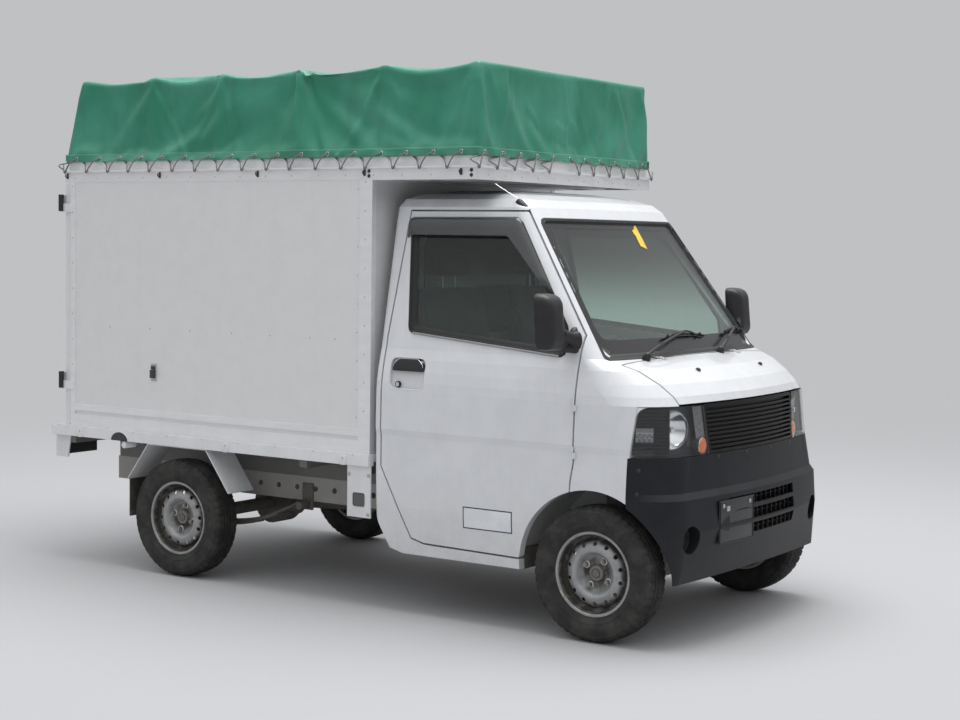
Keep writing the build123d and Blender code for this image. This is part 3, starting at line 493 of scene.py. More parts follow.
# Painted metal: dust reaches up to dustHigh in metres, and wear lays bare the colour under the paint
paintLooks = {
    "cabPaint": {
        "base": colour(0.70, 0.71, 0.735), "coat": 0.8, "rough": 0.32, "dust": 0.30, "dustHigh": 0.62,
        "wear": 0.0, "under": colour(0.3, 0.3, 0.3)
    },
    "cabInsidePaint": {
        "base": colour(0.42, 0.43, 0.44), "coat": 0.1, "rough": 0.55, "dust": 0.5, "dustHigh": 0.7,
        "wear": 0.1, "under": colour(0.2, 0.2, 0.2)
    },
    # the frame paint's base is darkened as painted shade under the truck, with dust and worn spots over
    # it
    "framePaintWithPaintedShade": {
        "base": colour(0.36, 0.355, 0.34), "coat": 0.1, "rough": 0.55, "dust": 0.8, "dustHigh": 0.62,
        "wear": 0.4, "under": colour(0.16, 0.075, 0.04)
    },
    # a darker copy of the deck paint as painted shade on the bearers under the deck, with dust and rust
    "deckPaintWithPaintedShade": {
        "base": colour(0.16, 0.157, 0.15), "coat": 0.0, "rough": 0.65, "dust": 0.4, "dustHigh": 0.75,
        "wear": 0.35, "under": colour(0.13, 0.065, 0.04)
    },
    "deckPaint": {
        "base": colour(0.76, 0.77, 0.79), "coat": 0.4, "rough": 0.38, "dust": 0.45, "dustHigh": 0.72,
        "wear": 0.35, "under": colour(0.22, 0.13, 0.08)
    },
    "fenderPaint": {
        "base": colour(0.70, 0.71, 0.72), "coat": 0.2, "rough": 0.45, "dust": 0.6, "dustHigh": 0.7,
        "wear": 0.3, "under": colour(0.2, 0.12, 0.08)
    },
    # the underbody black is a black undercoat made darker still as painted shade in the wheel housings
    "underbodyBlackWithPaintedShade": {
        "base": colour(0.035, 0.035, 0.036), "coat": 0.0, "rough": 0.6, "dust": 0.55, "dustHigh": 0.8,
        "wear": 0.4, "under": colour(0.15, 0.08, 0.05)
    },
    "springSteel": {
        "base": colour(0.06, 0.055, 0.052), "coat": 0.0, "rough": 0.65, "dust": 0.5, "dustHigh": 0.8,
        "wear": 0.6, "under": colour(0.18, 0.085, 0.045)
    },
    "tankBlack": {
        "base": colour(0.04, 0.04, 0.043), "coat": 0.1, "rough": 0.5, "dust": 0.5, "dustHigh": 0.7,
        "wear": 0.25, "under": colour(0.15, 0.08, 0.05)
    },
    "hingeBlack": {
        "base": colour(0.03, 0.03, 0.033), "coat": 0.2, "rough": 0.42, "dust": 0.15, "dustHigh": 1.2,
        "wear": 0.3, "under": colour(0.3, 0.3, 0.3)
    },
}


def makePaint(name):
    look = paintLooks[name]
    material, tree, shader = startMaterial(name, Coat_Roughness=0.06, Specular_IOR_Level=0.5)
    worn = useGroup(tree, edgeWear, Radius=0.0022, Amount=look["wear"], Scale=70.0)
    dust = useGroup(
        tree, roadDust, Low=0.12, High=look["dustHigh"], Amount=look["dust"], Top=0.06, Scale=7.0
    )["Mask"]
    streaks = useGroup(tree, rainStreaks, Width=26.0, Length=1.4, Amount=0.05)["Mask"]
    grain = useGroup(tree, mouldedGrain, Scale=260.0, Slow=9.0)
    shade = spreadRange(tree, grain["Patches"], 0.3, 0.7, 0.96, 1.02)
    tinted = shadedColour(tree, look["base"], shade)
    rubbed = mixColour(tree, worn["Mask"], tinted, look["under"])
    film = maths(tree, "ADD", dust, streaks, clamp=True)
    tree.links.new(mixColour(tree, film, rubbed, dustColour), shader["Base Color"])
    roughness = maths(tree, "ADD", look["rough"], maths(tree, "MULTIPLY", film, 0.35), clamp=True)
    tree.links.new(
        maths(tree, "ADD", roughness, maths(tree, "MULTIPLY", worn["Mask"], 0.2)), shader["Roughness"]
    )
    tree.links.new(
        maths(tree, "MULTIPLY", maths(tree, "SUBTRACT", 1.0, film), look["coat"], clamp=True),
        shader["Coat Weight"]
    )
    setBump(tree, shader, grain["Height"], 0.00006, 0.5, worn["Normal"])
    return material


# Bare metals: stretch draws the grain out along an axis, and mottle is the strength of stains
metalLooks = {
    "boxSheetMetal": {
        "mottle": 0.2, "base": colour(0.80, 0.805, 0.80), "metal": 0.42, "rough": 0.48,
        "stretch": (3.0, 3.0, 3.0), "grain": 110.0, "bump": 0.00004, "dust": 0.12, "dustHigh": 0.95
    },
    "boxExtrusionMetal": {
        "mottle": 0.4, "base": colour(0.86, 0.865, 0.88), "metal": 0.45, "rough": 0.38,
        "stretch": (1.0, 5.0, 5.0), "grain": 70.0, "bump": 0.00002, "dust": 0.15, "dustHigh": 0.9
    },
    "zincSteel": {
        "base": colour(0.55, 0.55, 0.53), "metal": 0.8, "rough": 0.42, "grain": 150.0, "bump": 0.00008,
        "dust": 0.2, "dustHigh": 1.0
    },
    "castMetal": {
        "base": colour(0.20, 0.20, 0.195), "metal": 0.6, "rough": 0.62, "grain": 220.0, "bump": 0.0003,
        "dust": 0.5, "dustHigh": 0.8
    },
    "exhaustSteel": {
        "base": colour(0.24, 0.20, 0.17), "metal": 0.7, "rough": 0.55, "grain": 90.0, "bump": 0.0002,
        "dust": 0.45, "dustHigh": 0.7
    },
    "chrome": {
        "base": colour(0.86, 0.87, 0.88), "metal": 1.0, "rough": 0.08, "grain": 40.0, "bump": 0.00001,
        "dust": 0.0, "dustHigh": 0.5
    },
}


def makeMetal(name):
    look = metalLooks[name]
    material, tree, shader = startMaterial(name, Metallic=look["metal"])
    worn = useGroup(tree, edgeWear, Radius=0.0015, Amount=0.25, Scale=50.0)
    grain = useGroup(
        tree, mouldedGrain, Scale=look["grain"], Stretch=look.get("stretch", (1.0, 1.0, 1.0)), Slow=5.0
    )
    dust = useGroup(
        tree, roadDust, Low=0.15, High=look["dustHigh"], Amount=look["dust"], Top=0.08, Scale=5.0
    )["Mask"]
    mottle = look.get("mottle", 1.0)
    streaks = useGroup(tree, rainStreaks, Width=18.0, Length=0.9, Amount=0.10 * mottle)["Mask"]
    shade = spreadRange(tree, grain["Patches"], 0.3, 0.7, 1 - 0.08 * mottle, 1 + 0.05 * mottle)
    tinted = shadedColour(tree, look["base"], shade)
    film = maths(tree, "ADD", dust, streaks, clamp=True)
    tree.links.new(mixColour(tree, film, tinted, dustColour), shader["Base Color"])
    fine = spreadRange(tree, grain["Height"], 0.3, 0.7, -0.07, 0.07)
    rough = maths(
        tree, "ADD", maths(tree, "ADD", look["rough"], fine), maths(tree, "MULTIPLY", film, 0.3),
        clamp=True
    )
    tree.links.new(rough, shader["Roughness"])
    setBump(tree, shader, grain["Height"], look["bump"], 0.6, worn["Normal"])
    return material


# Moulded plastics, rubbers and rope: grain is the texture's scale and bump its depth in metres
plasticLooks = {
    "bumperPlastic": {
        "base": colour(0.009, 0.010, 0.0135), "shine": 0.28, "rough": 0.46, "grain": 900.0,
        "bump": 0.00012, "dust": 0.03, "dustHigh": 0.7, "wear": 0.10
    },
    "grillePlastic": {
        "base": colour(0.006, 0.006, 0.0065), "shine": 0.2, "rough": 0.35, "grain": 700.0,
        "bump": 0.00006, "dust": 0.05, "dustHigh": 1.1, "wear": 0.05
    },
    "mirrorPlastic": {
        "base": colour(0.016, 0.016, 0.018), "rough": 0.42, "grain": 1000.0, "bump": 0.0001,
        "dust": 0.05, "dustHigh": 1.4, "wear": 0.08
    },
    "cabinPlastic": {
        "base": colour(0.10, 0.10, 0.102), "rough": 0.6, "grain": 700.0, "bump": 0.0002, "dust": 0.1,
        "dustHigh": 1.1
    },
    "darkPlastic": {
        "base": colour(0.018, 0.018, 0.019), "rough": 0.5, "grain": 700.0, "bump": 0.0001, "dust": 0.1,
        "dustHigh": 1.1
    },
    "gripPlastic": {
        "base": colour(0.03, 0.03, 0.032), "rough": 0.48, "grain": 800.0, "bump": 0.0002, "dust": 0.0,
        "dustHigh": 1.1
    },
    "rubberSeal": {
        "base": colour(0.014, 0.014, 0.015), "rough": 0.55, "grain": 300.0, "bump": 0.00005,
        "dust": 0.08, "dustHigh": 1.2
    },
    "flapRubber": {
        "base": colour(0.022, 0.021, 0.02), "rough": 0.75, "grain": 200.0, "bump": 0.0003, "dust": 0.6,
        "dustHigh": 0.55
    },
    "whitePlastic": {
        "base": colour(0.78, 0.79, 0.79), "rough": 0.4, "grain": 400.0, "bump": 0.00005, "dust": 0.1,
        "dustHigh": 0.8
    },
    "ropeFibre": {
        "base": colour(0.20, 0.185, 0.175), "rough": 0.85, "grain": 900.0, "bump": 0.0006, "dust": 0.1,
        "dustHigh": 1.0
    },
}


def makePlastic(name):
    look = plasticLooks[name]
    material, tree, shader = startMaterial(name, Specular_IOR_Level=look.get("shine", 0.45))
    worn = useGroup(tree, edgeWear, Radius=0.003, Amount=look.get("wear", 0.0), Scale=40.0)
    grain = useGroup(tree, mouldedGrain, Scale=look["grain"], Slow=14.0)
    dust = useGroup(
        tree, roadDust, Low=0.12, High=look["dustHigh"], Amount=look["dust"], Top=0.04, Scale=8.0
    )["Mask"]
    shade = spreadRange(tree, grain["Patches"], 0.3, 0.7, 0.85, 1.15)
    tinted = shadedColour(tree, look["base"], shade)
    faded = mixColour(tree, worn["Mask"], tinted, colour(0.16, 0.16, 0.16))
    tree.links.new(mixColour(tree, dust, faded, dustColour), shader["Base Color"])
    fine = spreadRange(tree, grain["Height"], 0.3, 0.7, -0.05, 0.05)
    tree.links.new(
        maths(
            tree, "ADD", maths(tree, "ADD", look["rough"], fine), maths(tree, "MULTIPLY", dust, 0.3),
            clamp=True
        ),
        shader["Roughness"]
    )
    setBump(tree, shader, grain["Height"], look["bump"], 0.6, worn["Normal"])
    return material


canopyLook = {
    "base": colour(0.010, 0.20, 0.115), "faded": colour(0.060, 0.30, 0.21),
    "grime": colour(0.022, 0.075, 0.05), "rough": 0.36
}


def makeCanopyVinyl():
    # Coated cloth: the weave shows through the coating, with chalky fading on top and grime at the hem
    material, tree, shader = startMaterial(
        "canopyVinyl", Specular_IOR_Level=0.55, Sheen_Weight=0.05, Sheen_Roughness=0.4
    )
    weave = useGroup(tree, wovenThreads, Pitch=0.0021)["Height"]
    grain = useGroup(tree, mouldedGrain, Scale=55.0, Slow=3.2)
    dust = useGroup(tree, roadDust, Low=1.86, High=1.97, Amount=0.25, Top=0.18, Scale=4.0)["Mask"]
    streaks = useGroup(tree, rainStreaks, Width=14.0, Length=2.0, Amount=0.35)["Mask"]
    fade = spreadRange(tree, grain["Patches"], 0.35, 0.7, 0.1, 0.75)
    body = mixColour(tree, fade, canopyLook["base"], canopyLook["faded"])
    dirty = mixColour(tree, maths(tree, "MULTIPLY", streaks, 0.6), body, canopyLook["grime"])
    tree.links.new(mixColour(tree, dust, dirty, colour(0.16, 0.24, 0.19)), shader["Base Color"])
    fine = spreadRange(tree, grain["Height"], 0.3, 0.7, -0.06, 0.08)
    tree.links.new(
        maths(
            tree, "ADD", canopyLook["rough"],
            maths(tree, "ADD", fine, maths(tree, "MULTIPLY", dust, 0.25)), clamp=True
        ),
        shader["Roughness"]
    )
    height = maths(
        tree, "ADD", maths(tree, "MULTIPLY", weave, 0.35), maths(tree, "MULTIPLY", grain["Height"], 0.8)
    )
    setBump(tree, shader, height, 0.0004, 0.5)
    return material


def makeSeatCloth():
    material, tree, shader = startMaterial(
        "seatCloth", Sheen_Weight=0.3, Sheen_Roughness=0.5, Specular_IOR_Level=0.25
    )
    weave = useGroup(tree, wovenThreads, Pitch=0.0016)["Height"]
    grain = useGroup(tree, mouldedGrain, Scale=140.0, Slow=11.0)
    fade = spreadRange(tree, grain["Patches"], 0.35, 0.7)
    body = mixColour(tree, fade, colour(0.040, 0.041, 0.046), colour(0.065, 0.066, 0.072))
    tree.links.new(body, shader["Base Color"])
    tree.links.new(spreadRange(tree, grain["Height"], 0.3, 0.7, 0.78, 0.95), shader["Roughness"])
    setBump(tree, shader, maths(tree, "ADD", weave, grain["Height"]), 0.0004, 0.7)
    return material


tyreLook = {"tread": colour(0.016, 0.0157, 0.0155), "dust": colour(0.085, 0.08, 0.073), "rough": 0.72}


def makeTyreRubber():
    # Dusty on the tread and in the lower wall, cleaner on the shoulder
    material, tree, shader = startMaterial("tyreRubber", Specular_IOR_Level=0.35)
    grain = useGroup(tree, mouldedGrain, Scale=380.0, Slow=16.0)
    worn = useGroup(tree, edgeWear, Radius=0.002, Amount=0.7, Scale=80.0)
    patches = spreadRange(tree, grain["Patches"], 0.35, 0.75, 0.05, 0.5)
    film = maths(tree, "ADD", patches, worn["Mask"], clamp=True)
    tree.links.new(mixColour(tree, film, tyreLook["tread"], tyreLook["dust"]), shader["Base Color"])
    tree.links.new(
        spreadRange(tree, grain["Height"], 0.3, 0.7, tyreLook["rough"] - 0.08, tyreLook["rough"] + 0.1),
        shader["Roughness"]
    )
    setBump(tree, shader, grain["Height"], 0.0004, 0.6, worn["Normal"])
    return material


rimLook = {
    "base": colour(0.37, 0.375, 0.38),
    "dirtAndShadeColour": colour(0.050, 0.042, 0.034),
    "hub": (0.045, 0.086),
    "barrel": (0.110, 0.133),
    "flange": (0.151, 0.157),
}


def makeRimPaint():
    # Silver paint: brake dust and painted shade in the deep middle, road dirt in the barrel, clean on the
    # raised ring and flange
    material, tree, shader = startMaterial("rimPaint", Specular_IOR_Level=0.5, Metallic=0.25)
    spot = addNode(tree, "SeparateXYZ", {0: addNode(tree, "TexCoord").outputs["Object"]}).outputs
    front = maths(tree, "ABSOLUTE", maths(tree, "SUBTRACT", spot["X"], truck["frontAxle"]))
    rear = maths(
        tree, "ABSOLUTE", maths(tree, "SUBTRACT", spot["X"], truck["frontAxle"] - truck["wheelbase"])
    )
    along = maths(tree, "MINIMUM", front, rear)
    above = maths(tree, "SUBTRACT", spot["Z"], truck["tyreRadius"])
    radius = addNode(
        tree, "VectorMath", {0: addNode(tree, "CombineXYZ", {0: along, 1: above}).outputs[0]},
        operation="LENGTH"
    ).outputs["Value"]
    grain = useGroup(tree, mouldedGrain, Scale=260.0, Slow=26.0)
    worn = useGroup(tree, edgeWear, Radius=0.002, Amount=0.6, Scale=60.0)
    # Painted shade with brake dust: darker toward the recessed middle
    hub = spreadRange(tree, radius, rimLook["hub"][0], rimLook["hub"][1], 0.85, 0.0)
    barrel = maths(
        tree, "MULTIPLY", spreadRange(tree, radius, *rimLook["barrel"]),
        spreadRange(tree, radius, *rimLook["flange"], 1.0, 0.12)
    )
    patches = spreadRange(tree, grain["Patches"], 0.3, 0.7, 0.75, 1.15)
    dirtAndShadeMask = maths(tree, "MULTIPLY", maths(tree, "ADD", hub, barrel), patches, clamp=True)
    film = maths(
        tree, "ADD", maths(tree, "MULTIPLY", dirtAndShadeMask, 0.92),
        spreadRange(tree, grain["Patches"], 0.35, 0.8, 0.04, 0.3), clamp=True
    )
    tree.links.new(mixColour(tree, film, rimLook["base"], rimLook["dirtAndShadeColour"]), shader["Base Color"])
    tree.links.new(spreadRange(tree, film, 0.0, 1.0, 0.32, 0.75), shader["Roughness"])
    setBump(tree, shader, grain["Height"], 0.0002, 0.5, worn["Normal"])
    return material


# Clear and tinted windows and lenses: film is the share of grime, and the top shade is painted shade that
# darkens the window glass toward the top
glassLooks = {
    "windowGlass": {"base": colour(0.80, 0.88, 0.85), "rough": 0.02, "film": 0.012, "paintedTopShade": 0.50},
    "smokeVisor": {"base": colour(0.40, 0.43, 0.48), "rough": 0.06, "film": 0.12},
    "lampGlass": {"base": colour(0.95, 0.96, 0.97), "rough": 0.03, "film": 0.03},
}


def makeGlass(name):
    # Thin clear sheet: light passes straight on, tinted, and Fresnel gives the reflection
    look = glassLooks[name]
    material, tree, shader = startMaterial(name, IOR=1.45, Specular_IOR_Level=0.5)
    grain = useGroup(tree, mouldedGrain, Scale=25.0, Slow=6.0)
    shader["Base Color"].default_value = look["base"]
    shader["Transmission Weight"].default_value = 1.0
    tree.links.new(
        spreadRange(tree, grain["Patches"], 0.3, 0.7, look["rough"], look["rough"] + 0.04),
        shader["Roughness"]
    )
    # Painted shade: the see-through tint darkens toward the top of the glass, from 1.20 m to 1.62 m
    height = addNode(tree, "SeparateXYZ", {0: addNode(tree, "TexCoord").outputs["Object"]}).outputs["Z"]
    shade = spreadRange(tree, height, 1.20, 1.62, 1.0, look.get("paintedTopShade", 1.0))
    tinted = shadedColour(tree, look["base"], shade)
    clear = addNode(tree, "BsdfTransparent", {"Color": tinted})
    skin = addNode(tree, "BsdfGlossy", {"Roughness": look["rough"]})
    film = addNode(tree, "BsdfDiffuse", {"Color": colour(0.5, 0.5, 0.48)})
    # a ray leaves the pane as it came, so its far face takes the inverse index
    behind = addNode(tree, "NewGeometry").outputs["Backfacing"]
    index = maths(tree, "SUBTRACT", 1.55, maths(tree, "MULTIPLY", behind, 1.55 - 1 / 1.55))
    mirrored = addNode(tree, "Fresnel", {"IOR": index}).outputs[0]
    through = addNode(tree, "MixShader", {0: look["film"], 1: clear.outputs[0], 2: film.outputs[0]})
    pane = addNode(tree, "MixShader", {0: mirrored, 1: through.outputs[0], 2: skin.outputs[0]})
    output = next(n for n in tree.nodes if n.bl_idname == "ShaderNodeOutputMaterial")
    tree.links.new(pane.outputs[0], output.inputs["Surface"])
    return material


# Plain finishes: the colour, and what differs from the usual
plainLooks = {
    "mirrorGlass": {"base": colour(0.85, 0.87, 0.88), "rough": 0.06, "metal": 1.0},
    "stickerYellow": {"base": colour(0.75, 0.55, 0.05), "rough": 0.5},
    "labelWhite": {"base": colour(0.74, 0.76, 0.78), "rough": 0.45, "coat": 0.2},
    "lampRibs": {"base": colour(0.022, 0.024, 0.030), "rough": 0.16, "coat": 0.5},
    "lampSilver": {"base": colour(0.26, 0.265, 0.27), "rough": 0.24, "metal": 0.7},
    "nutSteel": {"base": colour(0.30, 0.29, 0.275), "rough": 0.38, "metal": 0.8},
    "redLens": {"base": colour(0.42, 0.012, 0.010), "rough": 0.14, "coat": 1.0},
    "amberLens": {"base": colour(0.80, 0.17, 0.012), "rough": 0.14, "coat": 1.0},
    "clearLens": {"base": colour(0.62, 0.64, 0.65), "rough": 0.12, "metal": 0.3, "coat": 1.0},
    "paintedRecessShade": {"base": colour(0.11, 0.11, 0.105), "rough": 0.7},
    # a flat grey that paints a recess's shade
    "paleTrim": {"base": colour(0.30, 0.30, 0.31), "rough": 0.5},
    "labelNavy": {"base": colour(0.02, 0.035, 0.08), "rough": 0.45, "coat": 0.2},
    "plateBlack": {"base": colour(0.018, 0.018, 0.02), "rough": 0.45, "coat": 0.2},
    "screenBand": {"base": colour(0.008, 0.008, 0.009), "rough": 0.25},
    "lampDark": {"base": colour(0.05, 0.052, 0.058), "rough": 0.3, "metal": 0.3},
}


def makePlain(name, base, rough=0.5, metal=0.0, coat=0.0, grainScale=300.0, depth=0.00005):
    material, tree, shader = startMaterial(name, Metallic=metal, Coat_Weight=coat, Coat_Roughness=0.1)
    grain = useGroup(tree, mouldedGrain, Scale=grainScale, Slow=8.0)
    shade = spreadRange(tree, grain["Patches"], 0.3, 0.7, 0.9, 1.06)
    tree.links.new(shadedColour(tree, base, shade), shader["Base Color"])
    tree.links.new(
        spreadRange(tree, grain["Height"], 0.3, 0.7, rough - 0.05, rough + 0.05), shader["Roughness"]
    )
    setBump(tree, shader, grain["Height"], depth, 0.5)
    return material


finish = {name: makePaint(name) for name in paintLooks}
finish.update({name: makeMetal(name) for name in metalLooks})
finish.update({name: makePlastic(name) for name in plasticLooks})
finish.update({name: makeGlass(name) for name in glassLooks})
finish["canopyVinyl"] = makeCanopyVinyl()
finish["rimPaint"] = makeRimPaint()
finish["seatCloth"] = makeSeatCloth()
finish["tyreRubber"] = makeTyreRubber()
finish.update({name: makePlain(name, **look) for name, look in plainLooks.items()})
print("materials made")

# Each CAD node's finish, by the record's slot
slotFinish = {
    "frame_paint": "framePaintWithPaintedShade",
    "cab_paint": "cabPaint",
    "cab_inside_paint": "cabInsidePaint",
    "window_glass": "windowGlass",
    "dark_moulding": "bumperPlastic",
    "black_moulding": "grillePlastic",
    "lamp_lens": "lampGlass",
    "cabin_plastic": "cabinPlastic",
    "seat_cloth": "seatCloth",
    "wiper_black": "darkPlastic",
    "deck_paint": "deckPaint",
    "box_sheet": "boxSheetMetal",
    "box_extrusion": "boxExtrusionMetal",
    "canopy_sheet": "canopyVinyl",
    "red_lens": "redLens",
    "fender_paint": "fenderPaint",
    "flap_rubber": "flapRubber",
    "underbody_black": "underbodyBlackWithPaintedShade",
    "cast_metal": "castMetal",
    "spring_steel": "springSteel",
    "exhaust_steel": "exhaustSteel",
    "tank_black": "tankBlack",
    "mirror_black": "mirrorPlastic",
    "grip_plastic": "gripPlastic",
    "tyre_rubber": "tyreRubber",
    "rim_paint": "rimPaint",
}


# Nodes that differ from the rest of their slot: the deck's bearers take a darker copy of the deck paint
# as painted shade under the deck
nodeFinish = {"deck_bearers": "deckPaintWithPaintedShade"}


def finishFrame():
    for row in frame["record"]["subparts"]:
        node = frame["nodes"][row["node"]]
        material = finish[nodeFinish.get(row["node"], slotFinish[row["material_slot"]])]
        if not node.material_slots:
            node.data.materials.append(material)
        for place in node.material_slots:
            place.material = material


finishFrame()

# Studio: a pale floor, a bright even sky, one soft lamp above and the photograph's camera
studio = {
    "floor": colour(0.46, 0.46, 0.47),
    "zenith": 1.15,
    "horizon": 0.24,
    "shown": 0.54,
    "lampStrength": 350.0,
    "lampPlace": (0.6, 0.2, 6.8),
    "lampSize": 5.0,
}


def buildStudio():
    shape = newShape()
    reach = 60.0
    addPoly(shape, [(-reach, -reach, 0), (reach, -reach, 0), (reach, reach, 0), (-reach, reach, 0)])
    mesh = bpy.data.meshes.new("studioFloor")
    shape.to_mesh(mesh)
    shape.free()
    floor = bpy.data.objects.new("studioFloor", mesh)
    scene.collection.objects.link(floor)
    material, tree, shader = startMaterial("floorPaint", Roughness=0.7, Specular_IOR_Level=0.2)
    away = addNode(
        tree, "VectorMath", {0: addNode(tree, "TexCoord").outputs["Object"]}, operation="LENGTH"
    ).outputs["Value"]
    far = spreadRange(tree, away, 4.0, 15.0)
    tree.links.new(mixColour(tree, far, studio["floor"], colour(0.0, 0.0, 0.0)), shader["Base Color"])
    shader["Emission Color"].default_value = colour(0.97, 0.985, 1.0)
    tree.links.new(maths(tree, "MULTIPLY", far, studio["shown"]), shader["Emission Strength"])
    tree.links.new(spreadRange(tree, far, 0.0, 1.0, 0.2, 0.0), shader["Specular IOR Level"])
    mesh.materials.append(material)

    world = bpy.data.worlds.new("studioSky")
    scene.world = world
    world.use_nodes = True
    tree = world.node_tree
    tree.nodes.clear()
    upward = addNode(
        tree, "SeparateXYZ", {0: addNode(tree, "TexCoord").outputs["Generated"]}
    ).outputs["Z"]
    light = spreadRange(tree, upward, -0.1, 0.85, studio["horizon"], studio["zenith"])
    seen = addNode(tree, "LightPath").outputs["Is Camera Ray"]
    strength = addNode(tree, "Mix", {"Factor": seen, "A": light, "B": studio["shown"]}).outputs[0]
    sky = addNode(tree, "Background", {"Color": colour(0.97, 0.985, 1.0), "Strength": strength})
    tree.links.new(sky.outputs[0], addNode(tree, "OutputWorld").inputs["Surface"])

    lamp = bpy.data.lights.new("softLamp", "AREA")
    lamp.shape = "DISK"
    lamp.size = studio["lampSize"]
    lamp.energy = studio["lampStrength"]
    holder = bpy.data.objects.new("softLamp", lamp)
    scene.collection.objects.link(holder)
    holder.matrix_world = aimed(
        studio["lampPlace"], Vector(studio["lampPlace"]) - Vector((0.3, 0, 0.8))
    )


cameraLook = {
    "place": (4.7645, -6.589, 1.553), "azimuth": 34.254, "down": 3.844, "roll": 0.838, "lens": 66.63
}


def buildCamera():
    turn, down, roll = (math.radians(cameraLook[key]) for key in ("azimuth", "down", "roll"))
    back = Vector((math.sin(turn) * math.cos(down), -math.cos(turn) * math.cos(down), math.sin(down)))
    level = Vector((math.cos(turn), math.sin(turn), 0))
    rise = back.cross(level)
    right = level * math.cos(roll) + rise * math.sin(roll)
    up = rise * math.cos(roll) - level * math.sin(roll)
    data = bpy.data.cameras.new("photoCamera")
    data.lens = cameraLook["lens"]
    data.sensor_width = 36.0
    data.clip_end = 200.0
    camera = bpy.data.objects.new("photoCamera", data)
    scene.collection.objects.link(camera)
    camera.matrix_world = Matrix.Translation(
        cameraLook["place"]
    ) @ Matrix((right, up, back)).transposed().to_4x4()
    scene.camera = camera


buildStudio()
buildCamera()
print("studio and camera set")

# Canopy sheet: draped by a cloth simulation over copies of the bows, with its hem held at the eyelets
canopyShape = {
    "hemHeight": 1.896,
    "topHeight": 2.2705,
    "hemHalf": 0.7025,
    "topHalf": 0.6765,
    "hemFront": -0.5665,
    "topFront": -0.5765,
    "hemRear": -2.9305,
    "topRear": -2.8485,
    "spacing": 0.023,
    "frames": 26,
    "hemBand": 0.036,
    "eyeletPitch": 0.138,
    "eyeletRise": 0.014,
    # how many, and how far the first and last lie from the corners
    "sideEyelets": (17, 0.075, 0.08),
    "endEyelets": (11, 0.055),
    "bows": (-2.829, -2.382, -1.959, -1.521, -1.057, -0.595),
    "bowTop": 2.2675,
    "bowHalf": 0.6725,
    "bowGap": 0.0035,
    "purlin": (0.639, 2.2452),
    "barReach": 0.016,
    "barEase": 0.25,
    "pastBows": (0.014, 0.012),
    "mostLift": 0.010,
    "sag": 0.013,
    "creaseDepth": 0.0055,
    "creaseWidth": 0.017,
    "creasesPerBow": 5,
    "endCreases": (-0.66, -0.45, 0.0, 0.40, 0.66),
    "creasesPerPlace": 3,
    "seed": 7,
}


# How the sheet behaves in the simulation: it is cut larger than the bows, most of all at the loose corner
clothSettings = {
    "quality": 6,
    "mass": 0.15,
    "tension_stiffness": 22.0,
    "compression_stiffness": 22.0,
    "shear_stiffness": 11.0,
    "bending_stiffness": 0.9,
    "air_damping": 2.0,
    "vertex_group_mass": "hem",
    "vertex_group_shrink": "loose",
    "shrink_min": -0.012,
    "shrink_max": -0.11,
}


def bowSag(place):
    # 0 over a bow and 1 half way between two of them
    bows = canopyShape["bows"]
    for low, high in zip(bows, bows[1:]):
        if low <= place <= high:
            return math.sin(math.pi * (place - low) / (high - low)) ** 0.8
    return 0.0


def canopyPoint(u, v, depth):
    # u from rear to front, v from left to right, depth from the top edge down to the hem
    c = canopyShape
    half = c["topHalf"] + (c["hemHalf"] - c["topHalf"]) * depth
    rear = c["topRear"] + (c["hemRear"] - c["topRear"]) * depth
    front = c["topFront"] + (c["hemFront"] - c["topFront"]) * depth
    height = c["topHeight"] + (c["hemHeight"] - c["topHeight"]) * depth
    place = rear + (front - rear) * u
    across = 1 - 2 * v
    edge = max(0.0, abs(across) - 0.55) / 0.45
    dip = c["sag"] * bowSag(place) * (1 - depth) ** 1.5
    return Vector(
        (truck["frontAxle"] + place, (half - 0.45 * dip) * across, height - dip * (0.35 + 0.65 * edge))
    )


def canopyMesh():
    # One tailored sheet: a top and four sides sewn along the upright corners
    c = canopyShape
    long = round((c["hemFront"] - c["hemRear"]) / c["spacing"])
    wide = round(2 * c["hemHalf"] / c["spacing"])
    drop = round((c["topHeight"] - c["hemHeight"]) / c["spacing"])
    shape = newShape()
    addGrid(
        shape, [[canopyPoint(i / long, j / wide, 0) for i in range(long + 1)] for j in range(wide + 1)]
    )
    for v in (0, 1):
        addGrid(
            shape,
            [[canopyPoint(i / long, v, k / drop) for i in range(long + 1)] for k in range(drop + 1)]
        )
    for u in (0, 1):
        addGrid(
            shape,
            [[canopyPoint(u, j / wide, k / drop) for j in range(wide + 1)] for k in range(drop + 1)]
        )
    bmesh.ops.remove_doubles(shape, verts=list(shape.verts), dist=1e-5)
    bmesh.ops.recalc_face_normals(shape, faces=list(shape.faces))
    return shape


def bowBodies():
    # The bars that the sheet lies on, a little under its rest level so that it stays clear of them
    c = canopyShape
    shape = newShape()
    top, half, bar = c["topHeight"] - 0.002, c["topHalf"] - 0.003, 0.022
    for place in c["bows"]:
        x = truck["frontAxle"] + place - bar / 2
        addBox(shape, (x, -half, top - bar), (x + bar, half, top))
        for side in (-1, 1):
            y = sorted((side * half, side * (half - bar)))
            addBox(shape, (x, y[0], c["hemHeight"] - 0.03), (x + bar, y[1], top))
    ends = [truck["frontAxle"] + place for place in (c["bows"][0], c["bows"][-1])]
    low = top - bar
    for y in (-half + bar, -bar / 2, half - 2 * bar):
        addBox(shape, (ends[0], y, low - bar), (ends[1], y + bar, low))
    return shape


def looseMesh(shape, name):
    mesh = bpy.data.meshes.new(name)
    shape.to_mesh(mesh)
    shape.free()
    body = bpy.data.objects.new(name, mesh)
    scene.collection.objects.link(body)
    return body


